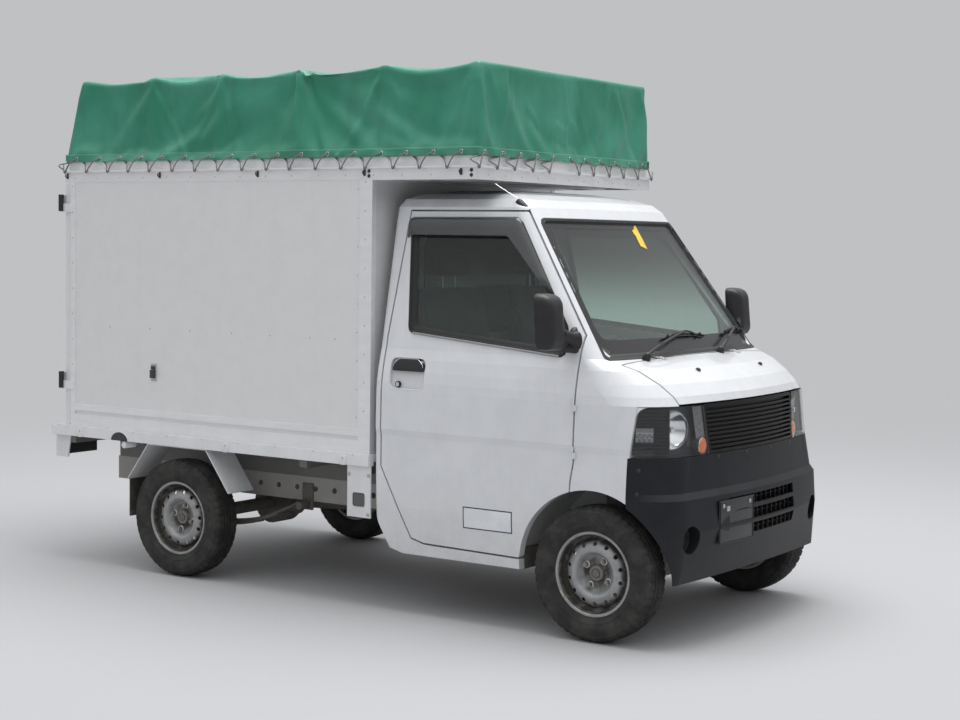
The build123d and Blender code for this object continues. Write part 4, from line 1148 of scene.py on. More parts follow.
def eyeletSpots():
    # Every eyelet of the hem: place, outward direction, and the way its lacing leans
    c = canopyShape
    z = c["hemHeight"] + c["eyeletRise"]
    front, rear = truck["frontAxle"] + c["hemFront"], truck["frontAxle"] + c["hemRear"]
    rows = []
    count, ahead, behind = c["sideEyelets"]
    for side in (-1, 1):
        start = front - ahead
        pitch = (start - rear - behind) / (count - 1)
        rows.append(
            [
                (
                    Vector((start - pitch * i, side * c["hemHalf"], z)), Vector((0, side, 0)),
                    Vector((-1, 0, 0))
                )
                for i in range(count)
            ]
        )
    count, aside = c["endEyelets"]
    for x, way in ((front, 1), (rear, -1)):
        pitch = 2 * (c["hemHalf"] - aside) / (count - 1)
        row = []
        for i in range(count):
            lean = 1 if i < count // 2 else -1
            row.append(
                (
                    Vector((x, -c["hemHalf"] + aside + pitch * i, z)), Vector((way, 0, 0)),
                    Vector((0, -lean, 0))
                )
            )
        rows.append(row)
    return rows


def drapeSheet(sheet, carrier):
    c = canopyShape
    hem = sheet.vertex_groups.new(name="hem")
    loose = sheet.vertex_groups.new(name="loose")
    rear = truck["frontAxle"] + c["hemRear"]
    held = [spot for row in eyeletSpots() for spot, _, _ in row]
    for vert in sheet.data.vertices:
        low = vert.co.z < c["hemHeight"] + 0.004
        near = low and min(
            (Vector((vert.co.x - s.x, vert.co.y - s.y))).length for s in held
        ) < 0.6 * c["spacing"]
        hem.add([vert.index], 1.0 if near else (0.35 if low else 0.0), "REPLACE")
        away = Vector((vert.co.x - rear - 0.10, vert.co.y + c["hemHalf"] - 0.02)).length
        corner = max(0.0, 1 - away / 0.34)
        loose.add([vert.index], corner ** 0.7 if corner > 0 else 0.0, "REPLACE")
    carrier.modifiers.new("carry", "COLLISION")
    carrier.collision.thickness_outer = 0.002
    carrier.collision.cloth_friction = 12.0
    cloth = sheet.modifiers.new("drape", "CLOTH")
    for key, value in clothSettings.items():
        setattr(cloth.settings, key, value)
    cloth.collision_settings.distance_min = 0.003
    cloth.collision_settings.use_self_collision = False
    cloth.point_cache.frame_end = c["frames"]
    for step in range(1, c["frames"] + 1):
        scene.frame_set(step)
    settled = bpy.data.meshes.new_from_object(
        sheet.evaluated_get(bpy.context.evaluated_depsgraph_get())
    )
    sheet.modifiers.clear()
    sheet.vertex_groups.clear()
    sheet.data = settled
    scene.frame_set(1)
    bpy.data.objects.remove(carrier)


def creaseLines():
    # Tension creases on the two long sides and two ends, from the bow tops down to eyelets.
    # Each is (face, place at the top, lean on the way down, strength, width)
    c = canopyShape
    chance = random.Random(c["seed"])
    lines = []
    for side in (-1, 1):
        for bow in c["bows"]:
            for _ in range(c["creasesPerBow"]):
                lean = chance.uniform(-0.26, 0.26)
                lines.append(
                    (
                        ("side", side), truck["frontAxle"] + bow + chance.uniform(-0.02, 0.02), lean,
                        chance.uniform(0.5, 1.2), chance.uniform(0.7, 1.5)
                    )
                )
    for way in (-1, 1):
        for y in c["endCreases"]:
            for _ in range(c["creasesPerPlace"]):
                lines.append(
                    (
                        ("end", way), y + chance.uniform(-0.05, 0.05), chance.uniform(-0.22, 0.22),
                        chance.uniform(0.4, 1.0), chance.uniform(0.8, 1.6)
                    )
                )
    return lines


def tensionFolds(point, lines):
    # Ridges along the crease lines, shallow waves at the eyelets and slow unevenness between
    c = canopyShape
    depth = (c["topHeight"] - point.z) / (c["topHeight"] - c["hemHeight"])
    if depth < 0.04:
        return noise.noise(Vector((point.x * 5, point.y * 4, 1.0))) * 0.0025
    rearEnd = point.x < truck["frontAxle"] + c["topRear"] + (
        c["hemRear"] - c["topRear"]
    ) * depth + 0.012
    frontEnd = point.x > truck["frontAxle"] + c["topFront"] - 0.008
    if rearEnd or frontEnd:
        face, along = ("end", -1 if rearEnd else 1), point.y
    else:
        face, along = ("side", -1 if point.y < 0 else 1), point.x
    lift = 0.0
    for where, top, lean, strength, width in lines:
        if where != face:
            continue
        bend = lean * depth * (0.75 + 0.25 * depth)
        away = (along - top - bend) / (c["creaseWidth"] * width * (0.7 + 0.6 * depth))
        if abs(away) < 4:
            rise = math.exp(-away * away) - 0.45 * math.exp(-(away - 1.9) ** 2)
            lift += c["creaseDepth"] * strength * rise * min(1.0, depth * 5) * (1 - 0.35 * depth)
    lean = noise.noise(Vector((along * 1.3, 0.0, 4.0))) * 0.12
    wave = math.cos(2 * math.pi * (along + lean * (1 - depth)) / c["eyeletPitch"])
    lift += 0.002 * wave * depth ** 3
    return lift + 0.006 * noise.noise(
        Vector((along * 6, point.z * 5, 2.0))
    ) * min(1, depth * 3) * (1 - depth)


def clearOfBows(point):
    # Holds the sheet off the bars: above the bows and the purlins, and outside the bows' legs
    c = canopyShape
    along = point.x - truck["frontAxle"]
    away = min(abs(along - bow) for bow in c["bows"])
    gap = c["bowGap"] - c["barEase"] * max(0.0, away - c["barReach"])
    overBars = c["bows"][0] - c["pastBows"][0] < along < c["bows"][-1] + c["pastBows"][1]
    if overBars and abs(point.y) < c["bowHalf"] + 0.002:
        place, top = c["purlin"]
        aside = min(abs(point.y), abs(abs(point.y) - place))
        low = max(c["bowTop"] + gap, top + c["bowGap"] - c["barEase"] * max(0.0, aside - c["barReach"]))
        if 0 < low - point.z < c["mostLift"]:
            return Vector((point.x, point.y, low))
    if c["bowHalf"] - 0.008 < abs(point.y) < c["bowHalf"] + gap and overBars:
        return Vector((point.x, math.copysign(c["bowHalf"] + gap, point.y), point.z))
    return point


def hemPath():
    # Four stretches of hem, each a list of (point, outward direction)
    c = canopyShape
    step = 0.0115
    front, rear = truck["frontAxle"] + c["hemFront"], truck["frontAxle"] + c["hemRear"]
    long, wide = round((front - rear) / step), round(2 * c["hemHalf"] / step)
    z = c["hemHeight"]
    sides = []
    for side in (-1, 1):
        sides.append(
            [
                (
                    Vector((rear + (front - rear) * i / long, side * c["hemHalf"], z)),
                    Vector((0, side, 0))
                )
                for i in range(long + 1)
            ]
        )
    for x, way in ((front, 1), (rear, -1)):
        sides.append(
            [
                (Vector((x, c["hemHalf"] * (2 * i / wide - 1), z)), Vector((way, 0, 0)))
                for i in range(wide + 1)
            ]
        )
    return sides


def buildHem(surface):
    # A doubled strip along the edge with a welded line above it
    c = canopyShape
    shape = newShape()
    # share of the band's height, and how far the strip stands off the sheet
    profile = (
        (0.0, 0.0010), (0.03, 0.0034), (0.25, 0.0036), (0.8, 0.0030), (0.93, 0.0034), (1.0, 0.0006)
    )
    for corners in hemPath():
        rows = []
        for share, lift in profile:
            row = []
            for foot, outward in corners:
                aim = foot + Vector((0, 0, c["hemBand"] * share - 0.002))
                place, _, _, _ = surface.ray_cast(aim + outward * 0.2, -outward)
                if place is None or (place - aim).length > 0.05:
                    place = aim
                row.append(place + outward * lift)
            rows.append(row)
        addGrid(shape, rows)
    return addPiece(shape, "canopyHem", "root", "canopyVinyl", smooth=60)


def buildCanopy():
    c = canopyShape
    sheet = looseMesh(canopyMesh(), "canopySheet")
    drapeSheet(sheet, looseMesh(bowBodies(), "bowCarrier"))
    level = sheet.modifiers.new("rounder", "SUBSURF")
    level.levels = level.render_levels = 1
    fine = bpy.data.meshes.new_from_object(sheet.evaluated_get(bpy.context.evaluated_depsgraph_get()))
    sheet.modifiers.clear()
    sheet.data = fine
    lines = creaseLines()
    normals = [v.normal.copy() for v in fine.vertices]
    for vert, normal in zip(fine.vertices, normals):
        vert.co = clearOfBows(vert.co + normal * tensionFolds(vert.co, lines))
        vert.co.z = min(vert.co.z, c["topHeight"] + 0.004)
    fine.materials.clear()
    fine.materials.append(finish["canopyVinyl"])
    fine.shade_smooth()
    surface = meshSurface(fine)
    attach(sheet, "root")
    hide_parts("canopy")
    hem = buildHem(surface)
    return surface


canopySurface = buildCanopy()
print("canopy draped")

# Lacing: one rope a side that spirals from eyelet to eyelet round the rail's lip
lacing = {
    "rope": 0.0029,
    "lipOut": 0.7245,
    "lipTop": 1.853,
    "lipUnder": 1.8455,
    "footBack": 0.055,
    "eyeletRadius": 0.0075,
    # the rope's turn round the lip: shift along it, reach past it in rope radii, and height
    "wraps": (
        (0.004, 1.0, "lipTop", 0.004), (0.001, 1.15, "lipUnder", 0), (-0.004, 0.6, "lipUnder", -0.003),
        (-0.008, 1.12, "lipUnder", 0.001), (-0.010, 0.9, "lipTop", 0.004)
    ),
    "lipFront": -0.5555,
    "lipRear": -2.9365,
}


def smoothPath(points, steps=4):
    # A Catmull-Rom curve through the points
    path = []
    last = len(points) - 1
    for i in range(last):
        p0, p1, p2, p3 = points[max(i - 1, 0)], points[i], points[i + 1], points[min(i + 2, last)]
        for k in range(steps):
            t = k / steps
            path.append(
                0.5 * (
                    2 * p1 + (p2 - p0) * t + (2 * p0 - 5 * p1 + 4 * p2 - p3) * t * t
                    + (3 * p1 - p0 - 3 * p2 + p3) * t ** 3
                )
            )
    path.append(points[last])
    return path


def lipEdge(spot, outward):
    # The spot moved out to the lip's edge on its side of the truck
    if outward.x > 0:
        return truck["frontAxle"] + lacing["lipFront"] - spot.x
    if outward.x < 0:
        return spot.x - truck["frontAxle"] - lacing["lipRear"]
    return lacing["lipOut"] - abs(spot.y)


def buildLacing():
    look = lacing
    shape = newShape()
    rings = newShape()
    chance = random.Random(11)
    for row in eyeletSpots():
        points = []
        for spot, outward, lean in row:
            reach = lipEdge(spot, outward) + look["rope"]
            foot = spot + lean * (look["footBack"] + chance.uniform(-0.006, 0.006))
            wander = Vector((chance.uniform(-0.002, 0.002), chance.uniform(-0.002, 0.002), 0))
            place, _, _, _ = canopySurface.ray_cast(spot + outward * 0.15, -outward)
            skin = place if place is not None and (place - spot).length < 0.04 else spot.copy()
            points.append(spot - outward * 0.004)
            points.append(skin + outward * 0.0075 - Vector((0, 0, 0.003)))
            points.append(
                (skin + outward * 0.006) * 0.5 + (foot + outward * reach) * 0.5 + wander
                - Vector((0, 0, 0.012))
            )
            for shift, out, level, up in look["wraps"]:
                edge = foot - lean * shift + outward * (reach - look["rope"] + look["rope"] * out)
                points.append(Vector((edge.x, edge.y, look[level] + up)))
            back = foot + lean * 0.04 - outward * 0.001
            points.append(Vector((back.x, back.y, look["lipTop"] + 0.030)))
            turn = aimed(skin + outward * 0.0042, outward)
            ring = [
                (
                    look["eyeletRadius"] + 0.0022 * math.cos(k * math.pi / 3),
                    0.0016 * math.sin(k * math.pi / 3)
                )
                for k in range(7)
            ]
            addLathe(rings, ring, 14, turn)
        addTube(shape, smoothPath(points), look["rope"], sides=7)
    addPiece(shape, "lacingRope", "root", "ropeFibre", smooth=60)
    addPiece(rings, "lacingEyelets", "root", "zincSteel")


buildLacing()
print("canopy laced")

# Fittings of the aluminium box: rivets, lip hooks, corner bolts and the side catch
boxFittings = {
    "rivetRadius": 0.0042,
    "rivetHigh": 0.0016,
    "sideRow": (-2.86, -2.63, -2.371, -2.121, -1.87, -1.645, -1.42, -1.283),
    "sideRowHeight": 1.127,
    "hookPlaces": (-2.911, -2.310, -1.721, -1.131, -0.64),
    "catch": (-2.345, 0.928),
    "sideFace": 0.711,
    "postFace": 0.717,
    "railFace": 0.712,
    "noseFace": fromAxle(-568) + 0.0003,
    # rows of rivets: first place, pitch and count
    "column": (0.80, 0.12, 9),
    "columnPlaces": ((-1164, "sideFace", 0), (-1120, "postFace", 0.03), (-2872, "postFace", 0.02)),
    "railRow": (-2860, 148, 16),
    "noseRow": (-0.62, 0.124, 11),
    "railRowHeight": 1.818,
    "railBolts": (-1108, -590),
    "hookPath": ((0.7125, 1.826), (0.7195, 1.822), (0.7250, 1.8265), (0.7245, 1.836)),
    "hookWire": 0.0026,
    "hookPlate": (0.006, 0.0008, 1.815, 1.842),
    # half length, how far it stands off, heights about the middle, bevel and material
    "catchParts": (
        (0.017, (0, 0.003), (-0.04, 0.04), 0.0008, 0), (0.012, (0, 0.016), (-0.026, 0.012), 0.002, 1),
        (0.009, (0.002, 0.012), (0.014, 0.03), 0.002, 1)
    ),
}


def addRivet(shape, place, outward, size=1.0, slot=0):
    r, h = boxFittings["rivetRadius"] * size, boxFittings["rivetHigh"] * size
    profile = [(0, h), (r * 0.45, h * 0.92), (r * 0.8, h * 0.6), (r, 0), (r, -0.0005)]
    addLathe(shape, profile, 12, aimed(place, outward), slot)


def addBolt(shape, place, outward, radius=0.006, high=0.004, twist=0.0, slot=0):
    # Hexagon head on a washer
    turn = aimed(place, outward, twist)
    addLathe(shape, [(0, 0.0012), (radius * 1.35, 0.0012), (radius * 1.45, 0)], 18, turn, slot)
    addPrism(shape, circlePoints(radius, 6), turn, high, slot, bevel=radius * 0.12)


def buildBoxFittings():
    look = boxFittings
    rivets, hooks = newShape(), newShape()
    for side in (-1, 1):
        out = Vector((0, side, 0))
        for place in look["sideRow"]:
            addRivet(
                rivets, (fromAxle(place * 1000), side * look["sideFace"], look["sideRowHeight"]), out
            )
        first, pitch, count = look["column"]
        for k in range(count):
            for x, face, up in look["columnPlaces"]:
                addRivet(rivets, (fromAxle(x), side * look[face], first + pitch * k + up), out, 0.9)
        first, pitch, count = look["railRow"]
        for k in range(count):
            addRivet(
                rivets, (fromAxle(first + pitch * k), side * look["railFace"], look["railRowHeight"]),
                out, 0.85
            )
        for place in look["hookPlaces"]:
            x = fromAxle(place * 1000)
            path = [Vector((x, side * y, z)) for y, z in look["hookPath"]]
            addTube(hooks, smoothPath(path, 5), look["hookWire"], 8)
            wide, thick, low, high = look["hookPlate"]
            y = side * look["hookPath"][0][0]
            addBox(hooks, (x - wide, y - thick, low), (x + wide, y + thick, high))
        for z in (1.815, 1.835):
            for x in look["railBolts"]:
                addBolt(hooks, (fromAxle(x), side * look["hookPath"][0][0], z), out, 0.0055)
    first, pitch, count = look["noseRow"]
    for k in range(count):
        addRivet(rivets, (look["noseFace"], first + pitch * k, look["railRowHeight"]), (1, 0, 0), 0.85)
    addPiece(rivets, "boxRivets", "root", "zincSteel")
    addPiece(hooks, "railHooks", "root", "hingeBlack")


def buildSideCatch():
    look = boxFittings
    shape = newShape()
    x, z = fromAxle(look["catch"][0] * 1000), look["catch"][1]
    for side in (-1, 1):
        face = side * look["sideFace"]
        for half, (near, far), (low, high), bevel, slot in look["catchParts"]:
            ends = sortedBox(
                (x - half, face + side * near, z + low), (x + half, face + side * far, z + high)
            )
            addBox(shape, *ends, bevel, slot)
        for dz in (-0.034, 0.036):
            addRivet(shape, (x, face + side * 0.003, z + dz), (0, side, 0), 0.9)
    addPiece(shape, "sideCatch", "root", ["zincSteel", "hingeBlack"])


def sortedBox(a, b):
    return tuple(min(p, q) for p, q in zip(a, b)), tuple(max(p, q) for p, q in zip(a, b))


buildBoxFittings()
buildSideCatch()
print("box fittings placed")

# Cab windows: rubber seals, the windscreen's black border, visors and the door handles
cabWindows = {
    "door": ((-905, 1175), (-146, 1108), (-152, 1218), (-428, 1634), (-957, 1628)),
    "doorCorner": 28,
    "setIn": 12,
    "screen": ((-638, 1106), (638, 1106), (541, 1638), (-541, 1638)),
    "borderLow": 62,
    "borderSide": 40,
    "borderTop": 30,
    "rearHalf": 430,
    "rearLow": 1150,
    "rearHigh": 1560,
    "visorOuter": ((-975, 1560), (-974, 1648), (-433, 1651), (-232, 1352)),
    "visorInner": ((-966, 1560), (-966, 1568), (-470, 1568), (-270, 1368)),
    "visorProud": 19,
    "visorSections": (
        (0, 0), (0.03, 0.35), (0.10, 0.72), (0.25, 0.92), (0.6, 1), (0.97, 1.06), (1.0, 1.06)
    ),
    # seals and rims as rows of (how far outside the edge, lift off the skin); the screen's also
    # have their lower corners' radius, and the flap's begin with a share of the outline
    "doorSeal": (
        (8, 0.1), (7.5, 2.0), (3, 3.2), (-1, 2.6), (-5, -3.0), (-16, -6.0), (-23, -9.5), (-25, -11.8)
    ),
    "screenSeal": (
        (10, 9, 0.1), (9.5, 9, 2.2), (4, 9, 3.2), (0, 9, 2.6), (-4, 12, -4.0), (-9, 14, -9.0),
        (-11, 16, -11.7)
    ),
    "rearSeal": ((0.010, 0.0002), (0.009, 0.003), (0.002, 0.004), (-0.008, -0.004), (-0.012, -0.011)),
    "handleRim": ((3.5, 0.0), (2.2, 1.1), (0.4, 1.2), (-0.8, 0.2), (-1.4, -8.0)),
    "handleFlap": ((1.0, -10.0), (1.0, 0.5), (0.975, 2.0), (0.93, 2.6), (0.5, 3.4), (0.15, 3.6)),
    "strip": ((-888, 1169.5), (-172, 1106.5)),
    "stickers": ((151, 1612, 26, 30, 0.22), (143, 1560, 24, 28, 0.25)),
    "handle": (-888, 1000),
}


def outlineOffset(points, distance):
    # A closed outline moved outward by the distance
    count = len(points)
    turning = sum(
        points[i - 1][0] * points[i][1] - points[i][0] * points[i - 1][1] for i in range(count)
    )
    sign = 1 if turning > 0 else -1
    moved = []
    for i in range(count):
        before, here, after = Vector(points[i - 1]), Vector(points[i]), Vector(points[(i + 1) % count])
        first, second = (here - before).normalized(), (after - here).normalized()
        n1, n2 = Vector((first.y, -first.x)) * sign, Vector((second.y, -second.x)) * sign
        moved.append(tuple(here + (n1 + n2) * (distance / max(1 + n1.dot(n2), 0.4))))
    return moved


def evenly(points, count, closed=True):
    # The path again with evenly spread points
    path = [Vector(p) for p in points]
    if closed:
        path.append(path[0])
    lengths = [0.0]
    for a, b in zip(path, path[1:]):
        lengths.append(lengths[-1] + (b - a).length)
    steps = count if closed else count - 1
    spread = []
    k = 0
    for i in range(count):
        goal = lengths[-1] * i / steps
        while k < len(path) - 2 and lengths[k + 1] < goal:
            k += 1
        span = max(lengths[k + 1] - lengths[k], 1e-9)
        spread.append(tuple(path[k].lerp(path[k + 1], min(1, (goal - lengths[k]) / span))))
    return spread


def doorSkin(side, point, lift):
    # A spot on the door's outer skin, also across its window, lifted by millimetres
    name = "left" if side > 0 else "right"
    start = axlePoint(point[0], side * rayStart["side"], point[1] / 1000)
    place, normal = landing("door_" + name, start, (0, -side, 0))
    if place is None or abs(place.y) < 0.5:
        place, normal = landing("door_glass_" + name, start, (0, -side, 0))
        if place is None:
            return None
        place = place + normal * (cabWindows["setIn"] / 1000)
    return place + normal * (lift / 1000)


def screenSkin(point, lift):
    # The same on the windscreen and the cab round it
    start = axlePoint(700, point[0] / 1000, point[1] / 1000)
    best = None
    for node, deeper in (("cab_shell", 0), ("cab_glass", cabWindows["setIn"])):
        place, normal = landing(node, start, (-1, 0, 0))
        if place is not None and place.x > fromAxle(-420):
            place = place + normal * (deeper / 1000)
            if best is None or place.x > best[0].x + 0.02:
                best = (place, normal)
    return best[0] + best[1] * (lift / 1000) if best else None


def castRows(shape, rows, slot=0, closed=True):
    # Rows of found places; a place that met nothing takes its neighbour's
    filled = []
    for row in rows:
        known = next(p for p in row if p is not None)
        line = []
        for p in row:
            known = p if p is not None else known
            line.append(known)
        filled.append(line)
    return addGrid(shape, filled, slot, closed=closed)


def addDome(shape, outline, find, rows, slot=0):
    # A closed skin that follows the outline inward: rows of (share of the outline, lift)
    middle = sum((Vector(p) for p in outline), Vector((0, 0))) / len(outline)
    made = []
    for share, lift in rows:
        made.append([find(tuple(middle.lerp(Vector(p), share)), lift) for p in outline])
    closeFan(shape, castRows(shape, made, slot)[-1], find(tuple(middle), rows[-1][1]), slot)


def buildDoorWindows():
    look = cabWindows
    outline = evenly(roundedOutline(look["door"], look["doorCorner"], 6), 150)
    for side, name in bothSides:
        shape = newShape()
        rows = []
        for outward, lift in look["doorSeal"]:
            rows.append([doorSkin(side, p, lift) for p in outlineOffset(outline, outward)])
        castRows(shape, rows)
        strip = evenly(look["strip"], 40, closed=False)
        path = [doorSkin(side, p, 3.4) for p in strip]
        addTube(shape, path, 0.0040, 8, slot=1)
        addPiece(
            shape, "windowSeal" + name.capitalize(), "door_" + name, ["rubberSeal", "paleTrim"],
        )

        shape = newShape()
        outer = evenly(roundedOutline(look["visorOuter"], (1, 22, 40, 1), 6)[6:-6], 70, closed=False)
        inner = evenly(roundedOutline(look["visorInner"], (1, 2, 34, 1), 6)[6:-6], 70, closed=False)
        rows = []
        for share, rise in look["visorSections"]:
            lift = rise * look["visorProud"]
            row = []
            for i, (a, b) in enumerate(zip(outer, inner)):
                ends = min(1.0, 0.12 + 0.5 * min(i, len(outer) - 1 - i) / 2)
                row.append(
                    doorSkin(side, tuple(Vector(a).lerp(Vector(b), share)), max(lift * ends, 0.3))
                )
            rows.append(row)
        castRows(shape, rows, closed=False)
        visor = addPiece(
            shape, "visor" + name.capitalize(), "door_" + name, "smokeVisor", smooth=60
        )
        wall = visor.modifiers.new("wall", "SOLIDIFY")
        wall.thickness = 0.0025
        wall.offset = -1


def buildHandles():
    x, z = cabWindows["handle"]
    pocket = evenly(roundedOutline(fourCorners(x - 88, x + 88, z - 62, z + 66), 30, 6), 72)
    flap = evenly(
        roundedOutline(
            [
                (x - 78, z + 12), (x + 78, z + 12), (x + 78, z + 40), (x + 48, z + 66),
                (x - 48, z + 66), (x - 78, z + 40)
            ],
            (6, 6, 20, 24, 24, 20), 5
        ),
        72
    )
    for side, name in bothSides:
        door = "door_" + name

        def skin(point, lift, side=side):
            # The flat skin round the pocket, whose own floor is left out
            near, far = doorSkin(side, (x - 110, point[1]), 0), doorSkin(side, (x + 110, point[1]), 0)
            share = (point[0] - x + 110) / 220
            return near.lerp(far, share) + Vector((0, side * lift / 1000, 0))

        shape = newShape()
        rows = [
            [skin(p, lift) for p in outlineOffset(pocket, outward)]
            for outward, lift in cabWindows["handleRim"]
        ]
        castRows(shape, rows)
        addPiece(shape, "handleRim" + name.capitalize(), door, "cabPaint", smooth=50)
        shape = newShape()
        addDome(shape, flap, skin, cabWindows["handleFlap"])
        lip = [skin(p, 2.4) for p in outlineOffset(flap, -3)]
        addTube(shape, [p for p, q in zip(lip, flap) if q[1] > z + 24], 0.0011, 6, slot=1)
        spot = skin((-936, 956), -14.5)
        turn = aimed(spot, (0, side, 0))
        addLathe(
            shape,
            [(0.0125, 0.0), (0.0125, 0.010), (0.0115, 0.0118), (0.0092, 0.0122), (0.0088, 0.0105)], 28,
            turn, 0
        )
        addLathe(shape, [(0.0088, 0.0105), (0.0085, 0.0112), (0, 0.0112)], 28, turn, 1)
        addBox(shape, (-0.0008, -0.0045, 0.0110), (0.0008, 0.0045, 0.0116), slot=0, place=turn)
        addPiece(
            shape, "handle" + name.capitalize(), door, ["mirrorPlastic", "chrome"]
        )


def buildScreen():
    look = cabWindows

    def ringOf(outward, lowCorner, highCorner, low=None, side=None, top=None):
        points = outlineOffset(look["screen"], outward)
        if low is not None:
            (a, b, c, d) = look["screen"]
            points = [
                (a[0] + side, a[1] + low), (b[0] - side, b[1] + low), (c[0] - side + 4, c[1] - top),
                (d[0] + side - 4, d[1] - top)
            ]
        steps = 7
        rounded = roundedOutline(points, (lowCorner, lowCorner, highCorner, highCorner), steps)
        rounded = rounded[steps + 1:] + rounded[:steps + 1]
        return evenly([(0.0, points[0][1])] + rounded, 180)

    shape = newShape()
    rows = []
    for outward, lowCorner, lift in look["screenSeal"]:
        rows.append([screenSkin(p, lift) for p in ringOf(outward, lowCorner, 34)])
    castRows(shape, rows)
    band = [[screenSkin(p, -11.4) for p in ringOf(-6, 14, 34)]]
    for share in (0.5, 1.0):
        inner = ringOf(
            0, 46, 40, low=look["borderLow"] * share, side=look["borderSide"] * share,
            top=look["borderTop"] * share
        )
        band.append([screenSkin(p, -11.5) for p in inner])
    castRows(shape, band, slot=1)
    addPiece(shape, "screenSeal", "root", ["rubberSeal", "screenBand"], smooth=50)


def buildRearWindow():
    look = cabWindows
    shape = newShape()
    back = fromAxle(-1055)
    half, z0, z1 = look["rearHalf"] / 1000, look["rearLow"] / 1000, look["rearHigh"] / 1000
    outline = evenly(roundedOutline(fourCorners(-half, half, z0, z1), 0.045, 6), 100)
    for face, way in ((back, -1), (back + 0.038, 1)):
        rows = []
        for outward, lift in look["rearSeal"]:
            rows.append([Vector((face + way * lift, y, z)) for y, z in outlineOffset(outline, outward)])
        addGrid(shape, rows, closed=True)
    addPiece(shape, "rearWindowSeal", "root", "rubberSeal")


def buildStickers():
    shape = newShape()
    for y, z, wide, high, turn in cabWindows["stickers"]:
        corners = []
        for a, b in ((-1, -1), (1, -1), (1, 1), (-1, 1)):
            u, v = a * wide, b * high
            corners.append(
                screenSkin(
                    (
                        y + u * math.cos(turn) + v * math.sin(turn),
                        z - u * math.sin(turn) + v * math.cos(turn)
                    ),
                    -11.2
                )
            )
        addPoly(shape, corners)
    addPiece(shape, "screenStickers", "root", "stickerYellow", smooth=0)


buildDoorWindows()
buildHandles()
buildScreen()
buildRearWindow()
buildStickers()
print("cab windows trimmed")

# Door mirrors on moulded arms. Millimetres from the front axle, on the right side
mirrorShape = {
    "centre": (-140, 812, 1243),
    "half": (37, 62, 112),
    "glassInset": 7,
    "corners": (20, 32, 34, 26),
    # sections of the arm: share of the way to the door, half length and half height
    "arm": ((0.0, 15, 26), (0.35, 13, 22), (0.7, 15, 24), (1.0, 22, 36)),
    "armEnd": 690,
    # the foot's plate as rows of (share of the outline, lift off the door)
    "footRows": ((1.0, 1.0), (1.0, 10.0), (0.95, 14.0), (0.7, 19.0), (0.3, 24.0)),
    "foot": ((-86, 1121), (-150, 1123), (-146, 1166), (-129, 1216), (-116, 1222), (-88, 1176)),
}


def buildMirrors():
    look = mirrorShape
    cx, cy, cz = look["centre"]
    hx, hy, hz = look["half"]
    for side, name in bothSides:
        shape = newShape()

        def spot(dx, dy, dz):
            # A point of the housing, leaned back with height
            return axlePoint(cx + dx - dz * 0.09, side * (cy + dy) / 1000, (cz + dz) / 1000)

        # the housing is a rounded rectangle in (y, z) that shrinks toward the front
        frontRows = (
            (-hx, 0.955), (-hx, 1.0), (-hx + 8, 1.0), (0, 0.975), (20, 0.90), (31, 0.77), (36, 0.58),
            (37.5, 0.3)
        )
        base = evenly(
            roundedOutline(
                [(-hy, -hz), (hy, -hz + 6), (hy - 4, hz), (-hy + 6, hz - 2)], look["corners"], 6
            ),
            64
        )
        rows = []
        for dx, share in frontRows:
            rows.append([spot(dx, y * share, z * share) for y, z in base])
        closeFan(shape, addGrid(shape, rows, closed=True)[-1], spot(38, 0, 0))
        inner = []
        for dx, share in ((-hx, 0.955), (-hx + 1.5, 0.945), (-hx + look["glassInset"], 0.93)):
            inner.append([spot(dx, y * share, z * share) for y, z in base])
        addGrid(shape, inner, closed=True)
        glassRows = [
            [spot(-hx + look["glassInset"] - bulge, y * share, z * share) for y, z in base]
            for share, bulge in ((0.93, 0.0), (0.6, 1.2), (0.25, 1.9))
        ]
        glass = addGrid(shape, glassRows, slot=1, closed=True)
        closeFan(shape, glass[-1], spot(-hx + look["glassInset"] - 2.0, 0, 0), 1)
        # arm from the housing's inner lower part to the foot on the door
        arm = []
        for share, rx, rz in look["arm"]:
            y = (cy - hy + 14) * (1 - share) + look["armEnd"] * share
            x = cx + 22 + share * 24
            z = 1196 - share * 24
            arm.append(
                [
                    axlePoint(x + rx * math.cos(t), side * y / 1000, (z + rz * math.sin(t)) / 1000)
                    for t in [2 * math.pi * k / 20 for k in range(20)]
                ]
            )
        addGrid(shape, arm, closed=True)
        # foot: a rounded triangle plate on the door's front corner
        foot = evenly(roundedOutline(look["foot"], (14, 10, 8, 8, 8, 14), 4), 60)
        middle = sum((Vector(p) for p in foot), Vector((0, 0))) / len(foot)
        deep = []
        for share, lift in look["footRows"]:
            deep.append([doorSkin(side, tuple(middle.lerp(Vector(p), share)), lift) for p in foot])
        ring = castRows(shape, deep)[-1]
        closeFan(shape, ring, sum((v.co for v in ring), Vector()) / len(ring))
        piece = addPiece(
            shape, "mirror" + name.capitalize(), "door_" + name, ["mirrorPlastic", "mirrorGlass"],
            smooth=40
        )
        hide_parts("mirror_" + name)


buildMirrors()
print("mirrors built")

